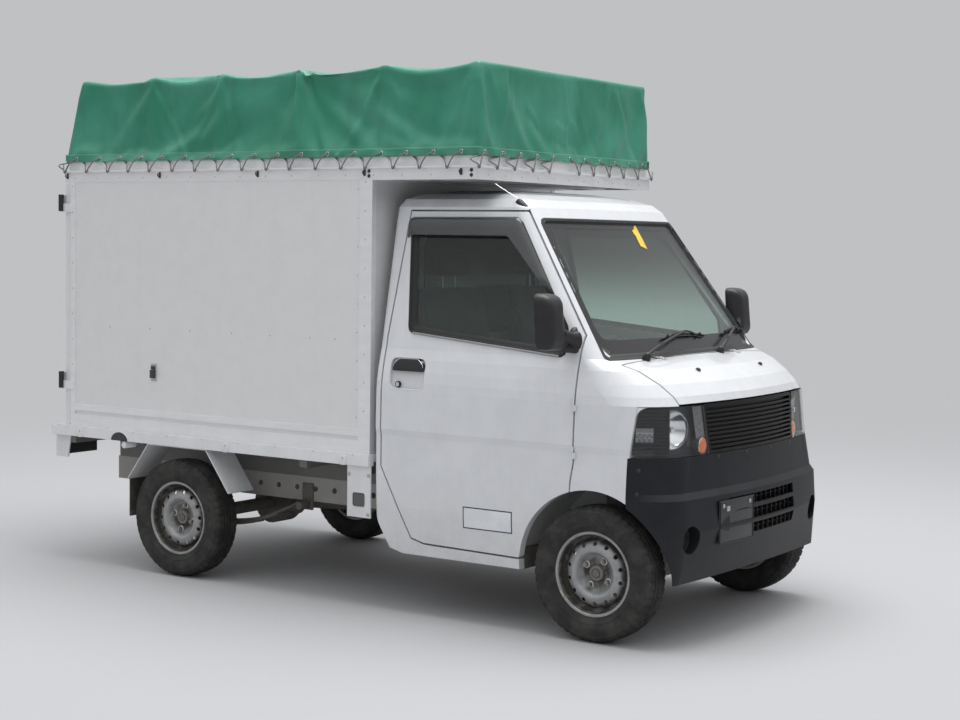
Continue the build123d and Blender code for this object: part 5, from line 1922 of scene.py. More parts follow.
# Wipers, washer nozzles and aerial. Places along and across in millimetres
wiperShape = {
    "wipers": (((66, -432), (-196, 178)), ((74, 205), (372, 640))),
    "bladeHigh": 1172,
    "pivotCap": (
        (0.0185, 0.0), (0.0180, 0.012), (0.0150, 0.020), (0.0135, 0.030), (0.009, 0.034), (0, 0.035)
    ),
    "pivotTilt": (0.45, 0, 0.89),
    "springCoils": (0.30, 0.36, 0.42),
    "clips": (2, 5, 11, 14),
    "nozzles": ((205, -252), (205, 318)),
    "aerial": (-464, -560),
    "aerialTop": (-560, -585, 1.784),
    # sections of the aerial's foot: share of its length, half width and height
    "aerialFoot": (
        (-0.12, 0.002, 0.001), (-0.05, 0.013, 0.009), (0.15, 0.016, 0.015), (0.5, 0.013, 0.012),
        (0.9, 0.008, 0.005), (1.0, 0.001, 0.001)
    ),
}


def buildWipers():
    look = wiperShape
    shape = newShape()
    for (pivotX, pivotY), (start, end) in look["wipers"]:
        base = screenSkin((pivotY, 1092), 2)
        pivot, _ = landing(
            "cab_shell", (fromAxle(pivotX), pivotY / 1000, rayStart["bonnet"]), (0, 0, -1)
        )
        pivot = pivot if pivot is not None and pivot.z < 1.2 else base
        normal = Vector(look["pivotTilt"])
        addLathe(shape, look["pivotCap"], 24, aimed(pivot - normal * 0.003, normal), 1)
        head = pivot + normal * 0.024
        middle = (start + end) / 2
        grip = screenSkin((middle, look["bladeHigh"] + 3), 14)
        elbow = head.lerp(grip, 0.42) + Vector((0.012, 0, 0.014))
        path = smoothPath(
            [
                head, head.lerp(elbow, 0.5) + Vector((0.003, 0, 0.004)), elbow,
                elbow.lerp(grip, 0.55) + Vector((0.002, 0, 0.002)), grip
            ],
            5
        )
        radii = [0.0085 - 0.0045 * i / (len(path) - 1) for i in range(len(path))]
        addTube(shape, path, radii, 10, slot=1)
        for share in look["springCoils"]:
            spot = path[int(share * (len(path) - 1))]
            addTube(
                shape, [spot + Vector((0, 0, 0.009)), spot - Vector((0, 0, 0.009))], 0.0035, 8, slot=1
            )
        lines = []
        for lift in (2, 8):
            lines.append(
                [
                    screenSkin(
                        (start + (end - start) * k / 16, look["bladeHigh"] - 14 * ((k / 8) - 1) ** 2),
                        -9 + lift
                    )
                    for k in range(17)
                ]
            )
        addTube(shape, lines[0], 0.0022, 6)
        addTube(shape, lines[1], [0.0024 + 0.0022 * (1 - abs(k / 8 - 1)) for k in range(17)], 8)
        addTube(shape, [a.lerp(b, 0.5) for a, b in zip(*lines)], 0.0018, 6)
        for k in look["clips"]:
            addBox(
                shape, (-0.004, -0.006, -0.003), (0.004, 0.006, 0.010), 0.001, 1,
                aimed(lines[1][k], Vector((0.8, 0, 0.6)))
            )
        bridge = [
            lines[1][4] + Vector((0.004, 0, 0.003)), grip + Vector((0.002, 0, 0.001)),
            lines[1][12] + Vector((0.004, 0, 0.003))
        ]
        addTube(shape, smoothPath(bridge, 6), 0.0036, 8, slot=1)
    piece = addPiece(
        shape, "wiperSet", "root", ["rubberSeal", "mirrorPlastic"], smooth=50
    )
    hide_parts("wipers")


def buildNozzles():
    shape = newShape()
    for x, y in wiperShape["nozzles"]:
        place, normal = landing("bonnet", (fromAxle(x), y / 1000, rayStart["bonnet"]), (0, 0, -1))
        turn = aimed(place, normal)
        addBox(shape, (-0.009, -0.008, -0.001), (0.009, 0.008, 0.007), 0.0025, 0, turn)
        addLathe(
            shape, [(0.003, 0), (0.003, 0.0085), (0.0015, 0.0095), (0, 0.0095)], 12,
            turn @ Matrix.Translation((0.004, 0, 0.0))
        )
    addPiece(shape, "washerNozzles", "bonnet", "mirrorPlastic")


def buildAerial():
    look = wiperShape
    shape = newShape()
    x, y = look["aerial"]
    foot, normal, _, _ = surfaceOf("cab_shell").find_nearest(axlePoint(x, y / 1000, 1.72))
    ahead = surfaceOf("cab_shell").find_nearest(axlePoint(x + 78, (y - 12) / 1000, foot.z - 0.03))[0]
    along = (ahead - foot).normalized()
    across = along.cross(normal).normalized()
    rows = []
    for share, wide, high in look["aerialFoot"]:
        centre = foot.lerp(ahead, share) - normal * 0.002
        rows.append(
            [
                centre + across * (wide * math.cos(t)) + normal * (high * math.sin(t))
                for t in [math.pi * k / 12 for k in range(13)]
            ]
        )
    addGrid(shape, rows)
    top = axlePoint(look["aerialTop"][0], look["aerialTop"][1] / 1000, look["aerialTop"][2])
    root = foot + normal * 0.013
    addTube(shape, [root, root.lerp(top, 0.3), top], [0.0032, 0.0018, 0.0013], 10, slot=1)
    addPiece(shape, "aerial", "root", ["mirrorPlastic", "chrome"], smooth=50)


buildWipers()
buildNozzles()
buildAerial()
print("wipers and small roof pieces built")

# Bare label on each door, and bare plates at the front and the rear
signs = {
    "label": (-597, -359, 391, 480),
    "labelBorder": 5,
    "frontPlate": (-0.382, -0.100, 0.378, 0.552),
    "plateBolts": (-0.105, 0.105),
    "plateBrackets": (-0.07, 0.07),
}


def addSheetOn(shape, corners, find, steps, lift, slot):
    # A thin sheet that follows the surface: corners are (a0, a1, b0, b1)
    a0, a1, b0, b1 = corners
    rows = []
    for j in range(steps + 1):
        rows.append(
            [
                find((a0 + (a1 - a0) * i / steps, b0 + (b1 - b0) * j / steps), lift)
                for i in range(steps + 1)
            ]
        )
    addGrid(shape, rows, slot)


def buildDoorLabels():
    look = signs
    border = look["labelBorder"]
    x0, x1, z0, z1 = look["label"]
    for side, name in bothSides:
        shape = newShape()

        def skin(point, lift, side=side):
            return doorSkin(side, point, lift)

        addSheetOn(shape, (x0, x1, z0, z1), skin, 6, 0.3, 0)
        addSheetOn(shape, (x0 + border, x1 - border, z0 + border, z1 - border), skin, 6, 0.5, 1)
        addPiece(
            shape, "doorLabel" + name.capitalize(), "door_" + name, ["labelNavy", "labelWhite"],
            smooth=0
        )


def buildFrontPlate():
    look = signs
    y0, y1, z0, z1 = look["frontPlate"]
    place, _ = landing("front_bumper", (rayStart["nose"], (y0 + y1) / 2, z1 + 0.02), (-1, 0, 0))
    x = max(place.x if place is not None else 0, fromAxle(386))
    shape = newShape()
    turn = Matrix.Translation((x, (y0 + y1) / 2, (z0 + z1) / 2)) @ Matrix.Rotation(-0.05, 4, "Z")
    wide, high = (y1 - y0) / 2, (z1 - z0) / 2
    addBox(shape, (-0.001, -wide, -high), (0.0, wide, high), 0.0004, 0, turn)
    for row in (0.93, 0.97):
        edge = [
            turn @ Vector((0.0005, y, z))
            for y, z in fourCorners(-wide * row, wide * row, -high * row, high * row)
        ]
        addTube(shape, edge, 0.0009, 6, closed=True)
    for y in look["plateBolts"]:
        addBolt(shape, turn @ Vector((0.0003, y, high - 0.022)), (1, 0, 0), 0.006, 0.003, slot=1)
    for aside in look["plateBrackets"]:
        y = (y0 + y1) / 2 + aside
        addBox(shape, (x - 0.03, y - 0.012, z1 - 0.045), (x - 0.001, y + 0.012, z1 - 0.025), 0.001, 1)
    addPiece(shape, "frontPlate", "root", ["plateBlack", "zincSteel"])


buildDoorLabels()
buildFrontPlate()
print("labels and plates placed")

# Headlamps: a clear cover over a dark tray with a round lamp, an indicator, ribs and a marker
lampShape = {
    "centre": (50, 300),
    "low": 736.6,
    "high": 929.4,
    "tray": 42,
    "corner": 42,
    "skinPerDegree": 7.0,
    "round": (260, 560, 838, 74),
    "roundTurn": 22,
    "indicator": (312, 411, 768, 33),
    "ribs": (53.0, 75.0),
    "ribPitch": 5.2,
    "ribSection": ((0.0, -14), (0.35, -7.5), (0.65, -7.0), (0.98, -14)),
    "marker": (62.5, 72.5, 795, 853),
    "panel": (800, 924),
    # turned profiles in metres: out from the lamp's or indicator's radius, or a share of it, and height
    "sleeve": ((0, -0.002), (0.001, 0.001), (0.003, 0.002), (0.0045, 0.0), (0.005, -0.05)),
    "bulbCap": (
        (0, 0.004), (0.010, 0.003), (0.0145, -0.003), (0.0150, -0.012), (0.0135, -0.013),
        (0.006, -0.03), (0.006, -0.055)
    ),
    "pod": ((0.0055, -0.045), (0.0055, 0.0), (0.004, 0.004)),
    "ring": ((0.004, 0.004), (0.0025, 0.0055), (0.0005, 0.004), (0, -0.002)),
    "dome": ((1, 0.0), (0.97, 0.004), (0.86, 0.0075), (0.62, 0.0100), (0.3, 0.0112), (0, 0.0115)),
}


def lampSkin(side, angle, z, lift):
    # A spot on the lamp's outer skin, found from a plan angle about the centre and a height
    cx, cy = lampShape["centre"]
    way = Vector((math.cos(math.radians(angle)), side * math.sin(math.radians(angle)), 0))
    start = axlePoint(cx, side * cy / 1000, z / 1000) + way * 0.9
    place, normal = landing("headlamps", start, -way)
    return place + normal * (lift / 1000) if place is not None else None


def lampEdges(side, z, rounded=True):
    # First and last plan angle that meet the lamp at this height, less the round of its outer top corner
    hits = [a / 2 for a in range(10, 176) if lampSkin(side, a / 2, z, 0) is not None]
    ends = []
    for inside, outside in ((hits[0], hits[0] - 0.5), (hits[-1], hits[-1] + 0.5)):
        for _ in range(8):
            middle = (inside + outside) / 2
            if lampSkin(side, middle, z, 0) is not None:
                inside = middle
            else:
                outside = middle
        ends.append(inside)
    look = lampShape
    above = z - (look["high"] - look["corner"])
    if rounded and above > 0:
        ends[1] -= (
            look["corner"] - math.sqrt(max(look["corner"] ** 2 - above**2, 0))
        ) / look["skinPerDegree"]
    return ends


def lampGrid(shape, side, heights, across, lift, drop, slot):
    # A skin over the whole lamp with its four edges turned inward by drop
    rows = []
    for j in [0] + list(range(len(heights))) + [len(heights) - 1]:
        first, last = lampEdges(side, heights[j])
        folded = len(rows) in (0, len(heights) + 1)
        row = []
        for i in [0] + list(range(across + 1)) + [across]:
            edge = folded or len(row) in (0, across + 2)
            row.append(
                lampSkin(
                    side, first + (last - first) * i / across, heights[j], lift - (drop if edge else 0)
                )
            )
        rows.append(row)
    addGrid(shape, rows, slot)


def cutRound(shape, place, radius):
    # Opens a round hole in a facing skin: near points move onto the circle, then what lies inside goes
    inward = place.inverted()

    def offAxis(point):
        spot = inward @ point
        return math.hypot(spot.x, spot.y), spot

    for vertex in shape.verts:
        off, spot = offAxis(vertex.co)
        if abs(off - radius) < 0.0065 and abs(spot.z) < 0.12:
            vertex.co = place @ Vector((spot.x * radius / off, spot.y * radius / off, spot.z))
    inside = [
        face
        for face in shape.faces
        if offAxis(face.calc_center_median())[0] < radius and abs(
            (inward @ face.calc_center_median()).z
        ) < 0.12
    ]
    bmesh.ops.delete(shape, geom=inside, context="FACES")


def facing(side, spec, turn=0):
    x, y, z, _ = spec
    outward = Matrix.Rotation(
        math.radians(side * turn), 4, "Z"
    ) @ Matrix.Rotation(math.radians(90), 4, "Y")
    return Matrix.Translation((fromAxle(x), side * y / 1000, z / 1000)) @ outward


def buildHeadlamps():
    look = lampShape
    low, high = look["low"], look["high"]
    heights = [low + (high - low) * k / 14 for k in range(11)] + [
        high - look["corner"] * (1 - math.sin(math.radians(a))) for a in (20, 38, 54, 68, 80, 90)
    ]
    heights = sorted(set(round(h, 2) for h in heights))
    fine = [low + (high - low) * k / 34 for k in range(35)]
    cover, body, glow, filler = newShape(), newShape(), newShape(), newShape()
    for side in (1, -1):
        lampGrid(cover, side, heights, 36, 0.6, 10, 0)
        tray = newShape()
        lampGrid(tray, side, fine, 64, -look["tray"], -look["tray"] + 2.5, 0)
        lampRound = facing(side, look["round"], look["roundTurn"])
        indicator = facing(side, look["indicator"])
        r, s = look["round"][3] / 1000, look["indicator"][3] / 1000
        cutRound(tray, lampRound, r + 0.002)
        cutRound(tray, indicator, s + 0.006)
        mesh = bpy.data.meshes.new("lampTray")
        tray.to_mesh(mesh)
        tray.free()
        body.from_mesh(mesh)
        # round lamp: chrome bowl in a silver sleeve, with a capped bulb
        bowl = [(r * math.sqrt(k / 10) if k else 0.0, -0.055 + 0.053 * k / 10) for k in range(11)]
        addLathe(body, bowl, 56, lampRound, 1)
        addLathe(body, [(r + out, h) for out, h in look["sleeve"]], 56, lampRound, 3)
        addLathe(body, look["bulbCap"], 24, lampRound, 1)
        # indicator: dark pod with a bright ring round an amber dome
        addLathe(body, [(s + out, h) for out, h in look["pod"]], 40, indicator, 0)
        addLathe(body, [(s + out, h) for out, h in look["ring"]], 40, indicator, 1)
        addLathe(glow, [(s * share, h) for share, h in look["dome"]], 36, indicator, 1)
        addLathe(glow, [(0, -0.004), (s, -0.004)], 36, indicator, 1)
        # fine level ribs over the outer end
        first, last = look["ribs"]
        z0, z1 = low + 8, high - 7
        count = round((z1 - z0) / look["ribPitch"])
        rows = []
        for k in range(count):
            for share, lift in look["ribSection"]:
                height = z0 + (z1 - z0) * (k + share) / count
                end = min(last, lampEdges(side, height)[1] - 0.7)
                row = [lampSkin(side, first - 0.4, height, -look["tray"])]
                row += [lampSkin(side, first + (end - first) * i / 12, height, lift) for i in range(13)]
                rows.append(row)
        addGrid(body, rows, 2)
        # marker: a two-part block crossed by fine grooves
        a0, a1, z0, z1 = look["marker"]
        rows = []
        for j in range(22):
            row = []
            for i in range(25):
                border = i in (0, 24) or j in (0, 21)
                groove = j in (7, 14) or i % 6 == 0
                lift = -15 if border else (-6.5 if groove else -3.2 - 0.1 * j)
                row.append(lampSkin(side, a0 + (a1 - a0) * i / 24, z0 + (z1 - z0) * j / 21, lift))
            rows.append(row)
        addGrid(body, rows, 3)
        # pale panel between the round lamp and the grille
        rows = []
        for k in range(13):
            height = look["panel"][0] + (look["panel"][1] - look["panel"][0]) * k / 12
            start = lampEdges(side, height)[0]
            rows.append(
                [
                    lampSkin(side, start + 1.0 + 8.0 * i / 6, height, -9 - 12 * (i / 6) ** 2)
                    for i in range(7)
                ]
            )
        addGrid(body, rows, 3)
        # painted corner that rounds the opening
        rows = []
        for a in range(0, 91, 10):
            height = high - look["corner"] * (1 - math.sin(math.radians(a)))
            inner, outer = lampEdges(side, height)[1], lampEdges(side, height, False)[1]
            rows.append(
                [lampSkin(side, inner, height, -9)]
                + [lampSkin(side, inner + (outer - inner) * i / 4, height, 0.2) for i in range(5)]
            )
        rows.append([lampSkin(side, lampEdges(side, high, False)[1], high, 0.2)] * 6)
        addGrid(filler, rows)
    piece = addPiece(cover, "lampCovers", "root", "lampGlass", smooth=40)
    addPiece(
        body, "lampInsides", "root", ["lampDark", "chrome", "lampRibs", "lampSilver"],
        smooth=40
    )
    addPiece(glow, "lampBulbs", "root", ["lampGlass", "amberLens"], smooth=50)
    addPiece(filler, "lampCorners", "root", "cabPaint", smooth=50)
    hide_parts("headlamps")


buildHeadlamps()
print("headlamps built")

# Bumper: upright ribs in the intake, blank fog lamp covers and push fasteners
bumperShape = {
    "ribRows": ((398, 440), (456, 500), (516, 556)),
    "ribPitch": 46,
    "intakeHalf": 300,
    "fog": (560, 420, 54, 310),
    "fogRim": ((0.0025, -0.001), (0.002, 0.006), (-0.002, 0.008), (-0.006, 0.004), (-0.010, 0.003)),
    "frontClips": ((330, 722), (110, 722)),
    "sideClips": (690, 600),
}


def buildIntakeRibs():
    look = bumperShape
    shape = newShape()
    half = look["intakeHalf"]
    for low, high in look["ribRows"]:
        middle = (low + high) / 2000
        for k in range(-6, 7):
            y = k * look["ribPitch"] / 1000
            # the skin just above the slot tells how far out the bumper is here
            place, _ = landing("front_bumper", (rayStart["nose"], y, high / 1000 + 0.006), (-1, 0, 0))
            x = place.x - 0.012
            addBox(
                shape, (x - 0.024, y - 0.0022, low / 1000 - 0.004),
                (x, y + 0.0022, high / 1000 + 0.004), 0.0008
            )
        path = []
        for k in range(25):
            y = (-half + 2 * half * k / 24) / 1000
            place, _ = landing(
                "front_bumper", (rayStart["nose"], y * 0.999, high / 1000 + 0.006), (-1, 0, 0)
            )
            path.append(Vector((place.x - 0.022, y, middle)))
        addTube(shape, path, 0.0035, 6)
    addPiece(shape, "intakeRibs", "root", "grillePlastic")


def buildFogCovers():
    look = bumperShape
    shape = newShape()
    y, z, radius, floor = look["fog"]
    for side in (1, -1):
        turn = turned((fromAxle(floor), side * y / 1000, z / 1000), 90, "Y")
        r = (radius - 4) / 1000
        addLathe(shape, [(r + out, h) for out, h in look["fogRim"]], 40, turn, 0)
        addLathe(
            shape, [(r - 0.010, 0.003), (r - 0.02, 0.0045), (r - 0.035, 0.0065), (0, 0.007)], 40, turn,
            1
        )
        for k in range(3):
            t = math.radians(90 + 120 * k)
            place = turn @ Matrix.Translation((math.cos(t) * (r - 0.009), math.sin(t) * (r - 0.009), 0))
            addBox(shape, (-0.004, -0.002, 0.002), (0.004, 0.002, 0.009), 0.0008, 0, place)
    addPiece(shape, "fogCovers", "root", ["bumperPlastic", "mirrorPlastic"])


def buildBumperClips():
    look = bumperShape
    shape = newShape()
    for side in (1, -1):
        rays = [
            ((fromAxle(200), side * rayStart["side"], z / 1000), (0, -side, 0))
            for z in look["sideClips"]
        ]
        rays += [
            ((rayStart["nose"], side * y / 1000, z / 1000), (-1, 0, 0)) for y, z in look["frontClips"]
        ]
        for start, way in rays:
            place, normal = landing("front_bumper", start, way)
            if place is not None:
                addLathe(
                    shape, [(0, 0.002), (0.005, 0.0019), (0.0075, 0.0012), (0.008, 0)], 16,
                    aimed(place, normal)
                )
    addPiece(shape, "bumperClips", "root", "mirrorPlastic")


buildIntakeRibs()
buildFogCovers()
buildBumperClips()
print("bumper dressed")

# Wheels. Millimetres, as (radius, outward height) from the wheel's middle plane
wheelShape = {
    "steps": 240,
    "wall": (
        (152.8, 50.5), (160, 52), (167, 53.2), (172, 56.5), (177, 61), (183, 65), (189, 67.4),
        (191, 68.8), (193.5, 69), (195, 67.9), (203, 70.2), (213, 72.2), (225, 72.4), (236, 71.2),
        (241, 70.3), (242.5, 71.2), (245, 71), (246.5, 69.3), (251, 66.6), (256, 62.6), (260, 58.6),
        (262.4, 55.2)
    ),
    "tread": (53, 49, 45, 41, 37, 34.2, 32.6, 28.6, 27, 23, 19, 15, 12.4, 10.8, 7.0, 5.4, 2.7, 0.0),
    "grooves": ((28.0, 33.0), (6.8, 11.0)),
    "grooveDepth": 6.5,
    "crown": 3.6,
    "rimLoop": (
        (33, 4), (33, 14), (34.5, 15.6), (37, 14.6), (60, 14.5), (70, 17), (76, 24), (82, 36), (88, 42),
        (94, 43.6), (100, 42), (108, 37.5), (127, 30), (131, 25), (134, 19), (138, 15.5), (142, 17.5),
        (149, 24), (151, 32), (152.5, 44), (154.5, 50), (158, 54.6), (163, 56.4), (166.5, 55.8),
        (167.6, 53.5), (166.5, 51.6), (158, 50.6), (155, 46), (153, 30), (152.4, 0), (147, -20),
        (152, -44), (155, -50), (166, -51.5), (167, -53.5), (165, -55.4), (158, -55), (151, -50),
        (148, -44), (143.5, -20), (149, 2), (148, 13), (138, 10.5),
        (130, 14), (125, 25), (108, 32.5), (94, 38.6), (87, 37), (79, 22), (73, 12.5), (60, 10), (36, 10),
    ),
    "vents": 14,
    "ventCircle": 117.5,
    "ventRadius": 8.6,
    "nutCircle": 57.15,
    "weightAngle": 200,
    "nutSeat": ((0.0155, 0.0), (0.0150, 0.0012), (0.0115, 0.0032), (0.0105, 0.0034)),
    "studEnd": ((0.0058, 0.014), (0.0058, 0.0185), (0.005, 0.0195), (0, 0.0195)),
    "valveStem": ((0.1445, 0, 0.016), (0.1440, 0, 0.03), (0.1425, 0, 0.045)),
    "hub": (
        (0, 23.5), (9, 23.5), (10, 21.5), (19, 21.5), (21, 25), (24, 26), (28, 25.5), (31, 22),
        (32.5, 14), (32.5, 2), (60, 2), (88, 3), (93, -1), (93, -34), (88, -38), (30, -38)
    ),
}


def tyreProfile():
    # Rows from the outer bead over the tread to the inner bead: (radius, height, kind)
    look = wheelShape
    half = [(r, h, "wall") for r, h in look["wall"]]
    tread = []
    for h in look["tread"]:
        radius = truck["tyreRadius"] * 1000 - look["crown"] * (h / look["tread"][0]) ** 2
        kind = "shoulder" if h > 36 else "rib"
        for low, high in look["grooves"]:
            if low <= h <= high:
                kind = "groove"
        tread.append((radius, h, kind))
    back = [(r, -h, kind) for r, h, kind in reversed(half + tread[:-1])]
    return half + tread + back


def buildTyre(name, x, side, body):
    look = wheelShape
    shape = newShape()
    profile = tyreProfile()
    steps = look["steps"]
    rows = []
    spin = random.Random(name).random()
    for k in range(steps):
        turn = 2 * math.pi * (k + spin) / steps
        saw = abs((k % 8) / 4 - 1) * 2 - 1
        row = []
        for radius, height, kind in profile:
            r, h = radius, height
            if kind == "groove":
                r -= look["grooveDepth"]
            if kind in ("groove", "rib") and abs(height) < 35:
                h += 1.3 * saw
            if kind == "shoulder" and k % 5 == 0:
                r -= 5.0
            if kind == "rib" and 14 < abs(height) < 27 and k % 4 == 0:
                r -= 2.2
            if kind == "wall" and radius > 250 and k % 5 == 0:
                r -= 3.0
                h -= math.copysign(1.2, height)
            row.append(
                Vector(
                    (
                        x + r * math.cos(turn) / 1000, side * truck["trackHalf"] + side * h / 1000,
                        truck["tyreRadius"] + r * math.sin(turn) / 1000
                    )
                )
            )
        rows.append(row)
    rows.append(rows[0])
    addGrid(shape, rows)
    return addPiece(shape, "tyre" + name, body, "tyreRubber", smooth=38)


def loopBody(loop, segments, turn, name):
    # A closed ring turned from a closed loop of (radius, height)
    shape = newShape()
    rows = []
    for k in range(segments):
        t = 2 * math.pi * k / segments
        rows.append(
            [turn @ Vector((r * math.cos(t) / 1000, r * math.sin(t) / 1000, h / 1000)) for r, h in loop]
        )
    rows.append(rows[0])
    addGrid(shape, rows, closed=True)
    bmesh.ops.remove_doubles(shape, verts=list(shape.verts), dist=1e-7)
    bmesh.ops.recalc_face_normals(shape, faces=list(shape.faces))
    return looseMesh(shape, name)


def rimMesh():
    # The pressed disc and barrel with its vents cut, made once round the local Z axis
    look = wheelShape
    rim = loopBody(look["rimLoop"], 112, Matrix.Identity(4), "rimBlank")
    shape = newShape()
    for k in range(look["vents"]):
        t = 2 * math.pi * k / look["vents"]
        place = Matrix.Translation(
            (look["ventCircle"] * math.cos(t) / 1000, look["ventCircle"] * math.sin(t) / 1000, 0.012)
        )
        addPrism(shape, circlePoints(look["ventRadius"] / 1000, 20), place, 0.04)
    bmesh.ops.recalc_face_normals(shape, faces=list(shape.faces))
    cutter = looseMesh(shape, "ventCutter")
    cut = rim.modifiers.new("vents", "BOOLEAN")
    cut.operation = "DIFFERENCE"
    cut.solver = "EXACT"
    cut.object = cutter
    made = bpy.data.meshes.new_from_object(rim.evaluated_get(bpy.context.evaluated_depsgraph_get()))
    bpy.data.objects.remove(rim)
    bpy.data.objects.remove(cutter)
    return made


def buildWheels():
    look = wheelShape
    pressed = rimMesh()
    front, rear = truck["frontAxle"], truck["frontAxle"] - truck["wheelbase"]
    for node, x, side in (
        ("front_left", front, 1), ("front_right", front, -1), ("rear_left", rear, 1),
        ("rear_right", rear, -1)
    ):
        name = node.title().replace("_", "")
        body = "wheel_" + node
        tyre = buildTyre(name, x, side, body)
        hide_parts("tyre_" + node)
        angle = random.Random(name).uniform(0, 1.5)
        turn = turned(
            (x, side * truck["trackHalf"], truck["tyreRadius"]), -90 * side, "X"
        ) @ Matrix.Rotation(angle, 4, "Z")
        shape = newShape()
        shape.from_mesh(pressed)
        bmesh.ops.transform(shape, matrix=turn, verts=list(shape.verts))
        rim = addPiece(shape, "rim" + name, body, "rimPaint", smooth=32)
        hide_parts("rim_" + node)
        shape = newShape()
        addLathe(shape, [(r / 1000, h / 1000) for r, h in look["hub"]], 48, turn, 0)
        for k in range(4):
            t = math.radians(45 + 90 * k)
            seat = turn @ Matrix.Translation(
                (look["nutCircle"] * math.cos(t) / 1000, look["nutCircle"] * math.sin(t) / 1000, 0.0145)
            )
            addLathe(shape, look["nutSeat"], 24, seat, 2)
            addPrism(
                shape, circlePoints(0.0105, 6, 0.3 * k), seat @ Matrix.Translation((0, 0, 0.002)),
                0.0125, 1, bevel=0.0011
            )
            addLathe(shape, look["studEnd"], 14, seat, 1)
        stem = [turn @ Vector(p) for p in look["valveStem"]]
        addTube(shape, stem, [0.0045, 0.0038, 0.0032], 12, slot=3)
        weight = turn @ Matrix.Rotation(
            math.radians(look["weightAngle"]), 4, "Z"
        ) @ Matrix.Translation((0.160, 0, 0.0545))
        addBox(shape, (-0.005, -0.014, -0.002), (0.0055, 0.014, 0.004), 0.0015, 2, weight)
        addPiece(
            shape, "hub" + name, body, ["castMetal", "nutSteel", "zincSteel", "flapRubber"],
            smooth=35
        )


buildWheels()
print("wheels built")

# Seats: padded cushions, backs and headrests. Millimetres along, up; half widths across
seatShape = {
    "places": (345, -345),
    "cushion": {
        "outline": ((-900, 716), (-424, 716), (-396, 758), (-402, 796), (-440, 815), (-878, 781)),
        "half": 243, "round": 30, "crown": 5
    },
    "back": {
        "outline": ((-984, 1342), (-928, 1348), (-804, 778), (-888, 764)), "half": 233, "round": 30,
        "crown": 5
    },
    "head": {
        "outline": ((-998, 1402), (-984, 1512), (-928, 1512), (-908, 1402)), "half": 118, "round": 26,
        "crown": 3
    },
    "posts": (-952, 45, 1322, 1420),
    "runners": (-880, -440, 200, 14),
}


def padShape(shape, spec, y):
    # Rounded block swept across from an outline in the x-z plane, with a welt at each edge
    outline = [Vector((x / 1000, z / 1000)) for x, z in spec["outline"]]
    loop = evenly(roundedOutline(outline, 0.022, 6), 64, True)
    half, r = spec["half"] / 1000, spec["round"] / 1000
    angles = [math.radians(a) for a in (90, 72, 54, 36, 18, 0)]
    stations = [(-half + r - r * math.sin(a), r * (1 - math.cos(a))) for a in angles]
    stations += [
        ((half - r) * k / 5, -spec["crown"] / 1000 * (1 - (k / 5) ** 2) ** 0.5 if abs(k) < 5 else 0)
        for k in range(-4, 5)
    ]
    stations += [(half - r + r * math.sin(a), r * (1 - math.cos(a))) for a in reversed(angles)]
    rows = []
    for across, inset in stations:
        rows.append(
            [
                Vector((truck["frontAxle"] + px, y / 1000 + across, pz))
                for px, pz in outlineOffset(loop, -inset)
            ]
        )
    addGrid(shape, rows, 0, closed=True)
    addPoly(shape, list(reversed(rows[0])))
    addPoly(shape, rows[-1])
    for sign in (1, -1):
        seam = [
            Vector((truck["frontAxle"] + px, y / 1000 + sign * (half - r * 0.35), pz))
            for px, pz in outlineOffset(loop, -r * 0.22)
        ]
        addTube(shape, seam, 0.0028, 6, slot=1, closed=True)


def buildSeats():
    look = seatShape
    first = True
    for y in look["places"]:
        side = "Left" if y > 0 else "Right"
        for kind, fill in (("cushion", 0.85), ("back", 0.85), ("head", 0.9)):
            shape = newShape()
            padShape(shape, look[kind], y)
            piece = addPiece(
                shape, "seat" + kind.capitalize() + side, "root", ["seatCloth", "gripPlastic"],
                smooth=50
            )
            if first:
                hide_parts("seats")
                first = False
        shape = newShape()
        x, gap, low, high = look["posts"]
        back, front, aside, wide = look["runners"]
        for sign in (1, -1):
            post = [
                axlePoint(x - (z - low) * 0.05, (y + sign * gap) / 1000, z / 1000)
                for z in (low, (low + high) / 2, high)
            ]
            addTube(shape, post, 0.006, 12)
        for sign in (1, -1):
            middle = y + sign * aside
            addBox(
                shape, axlePoint(back, (middle - wide) / 1000, 0.700),
                axlePoint(front, (middle + wide) / 1000, 0.718), 0.003, 1
            )
        addPiece(shape, "seatMetal" + side, "root", ["chrome", "darkPlastic"])


buildSeats()
print("seats built")

# Cab inside: dials, vents, stalks, levers, pedals, visors, mirror and door trim
insideShape = {
    "driver": -345,
    "vents": ((540, 1002), (85, 1005), (-85, 1005), (-545, 1002)),
    "ventSize": (104, 46),
    "ventBar": 4,
    "visor": (330, 190, 150),
    # rays that look for the dashboard start here
    "ray": -600,
    "dials": ((0.045, 0.034), (-0.052, 0.027)),
    "dialHeight": 1.046,
    "ticks": 25,
    # place across, and half width of the pad
    "pedals": ((-0.215, 0.026), (-0.335, 0.026), (-0.445, 0.021)),
    "stalk": ((-222, 0.036, 1.004), (-236, 0.09, 1.012), (-246, 0.155, 1.026)),
    "leverPath": ((0, 0, 0.05), (-0.02, 0.002, 0.2), (-0.06, 0.004, 0.36)),
    "leverKnob": (
        (0.0, 0.045), (0.012, 0.043), (0.019, 0.034), (0.021, 0.022), (0.017, 0.008), (0.009, 0.0)
    ),
    "brakePath": ((-0.03, 0, 0.006), (0.06, 0, 0.045), (0.20, 0, 0.105)),
    "crank": (-560, 905),
    "crankHub": ((0.026, 0), (0.026, 0.008), (0.018, 0.018), (0, 0.019)),
    "crankKnob": ((0.007, 0), (0.012, 0.006), (0.013, 0.022), (0.009, 0.028), (0, 0.029)),
    "pull": (-640, 985, 260),
}


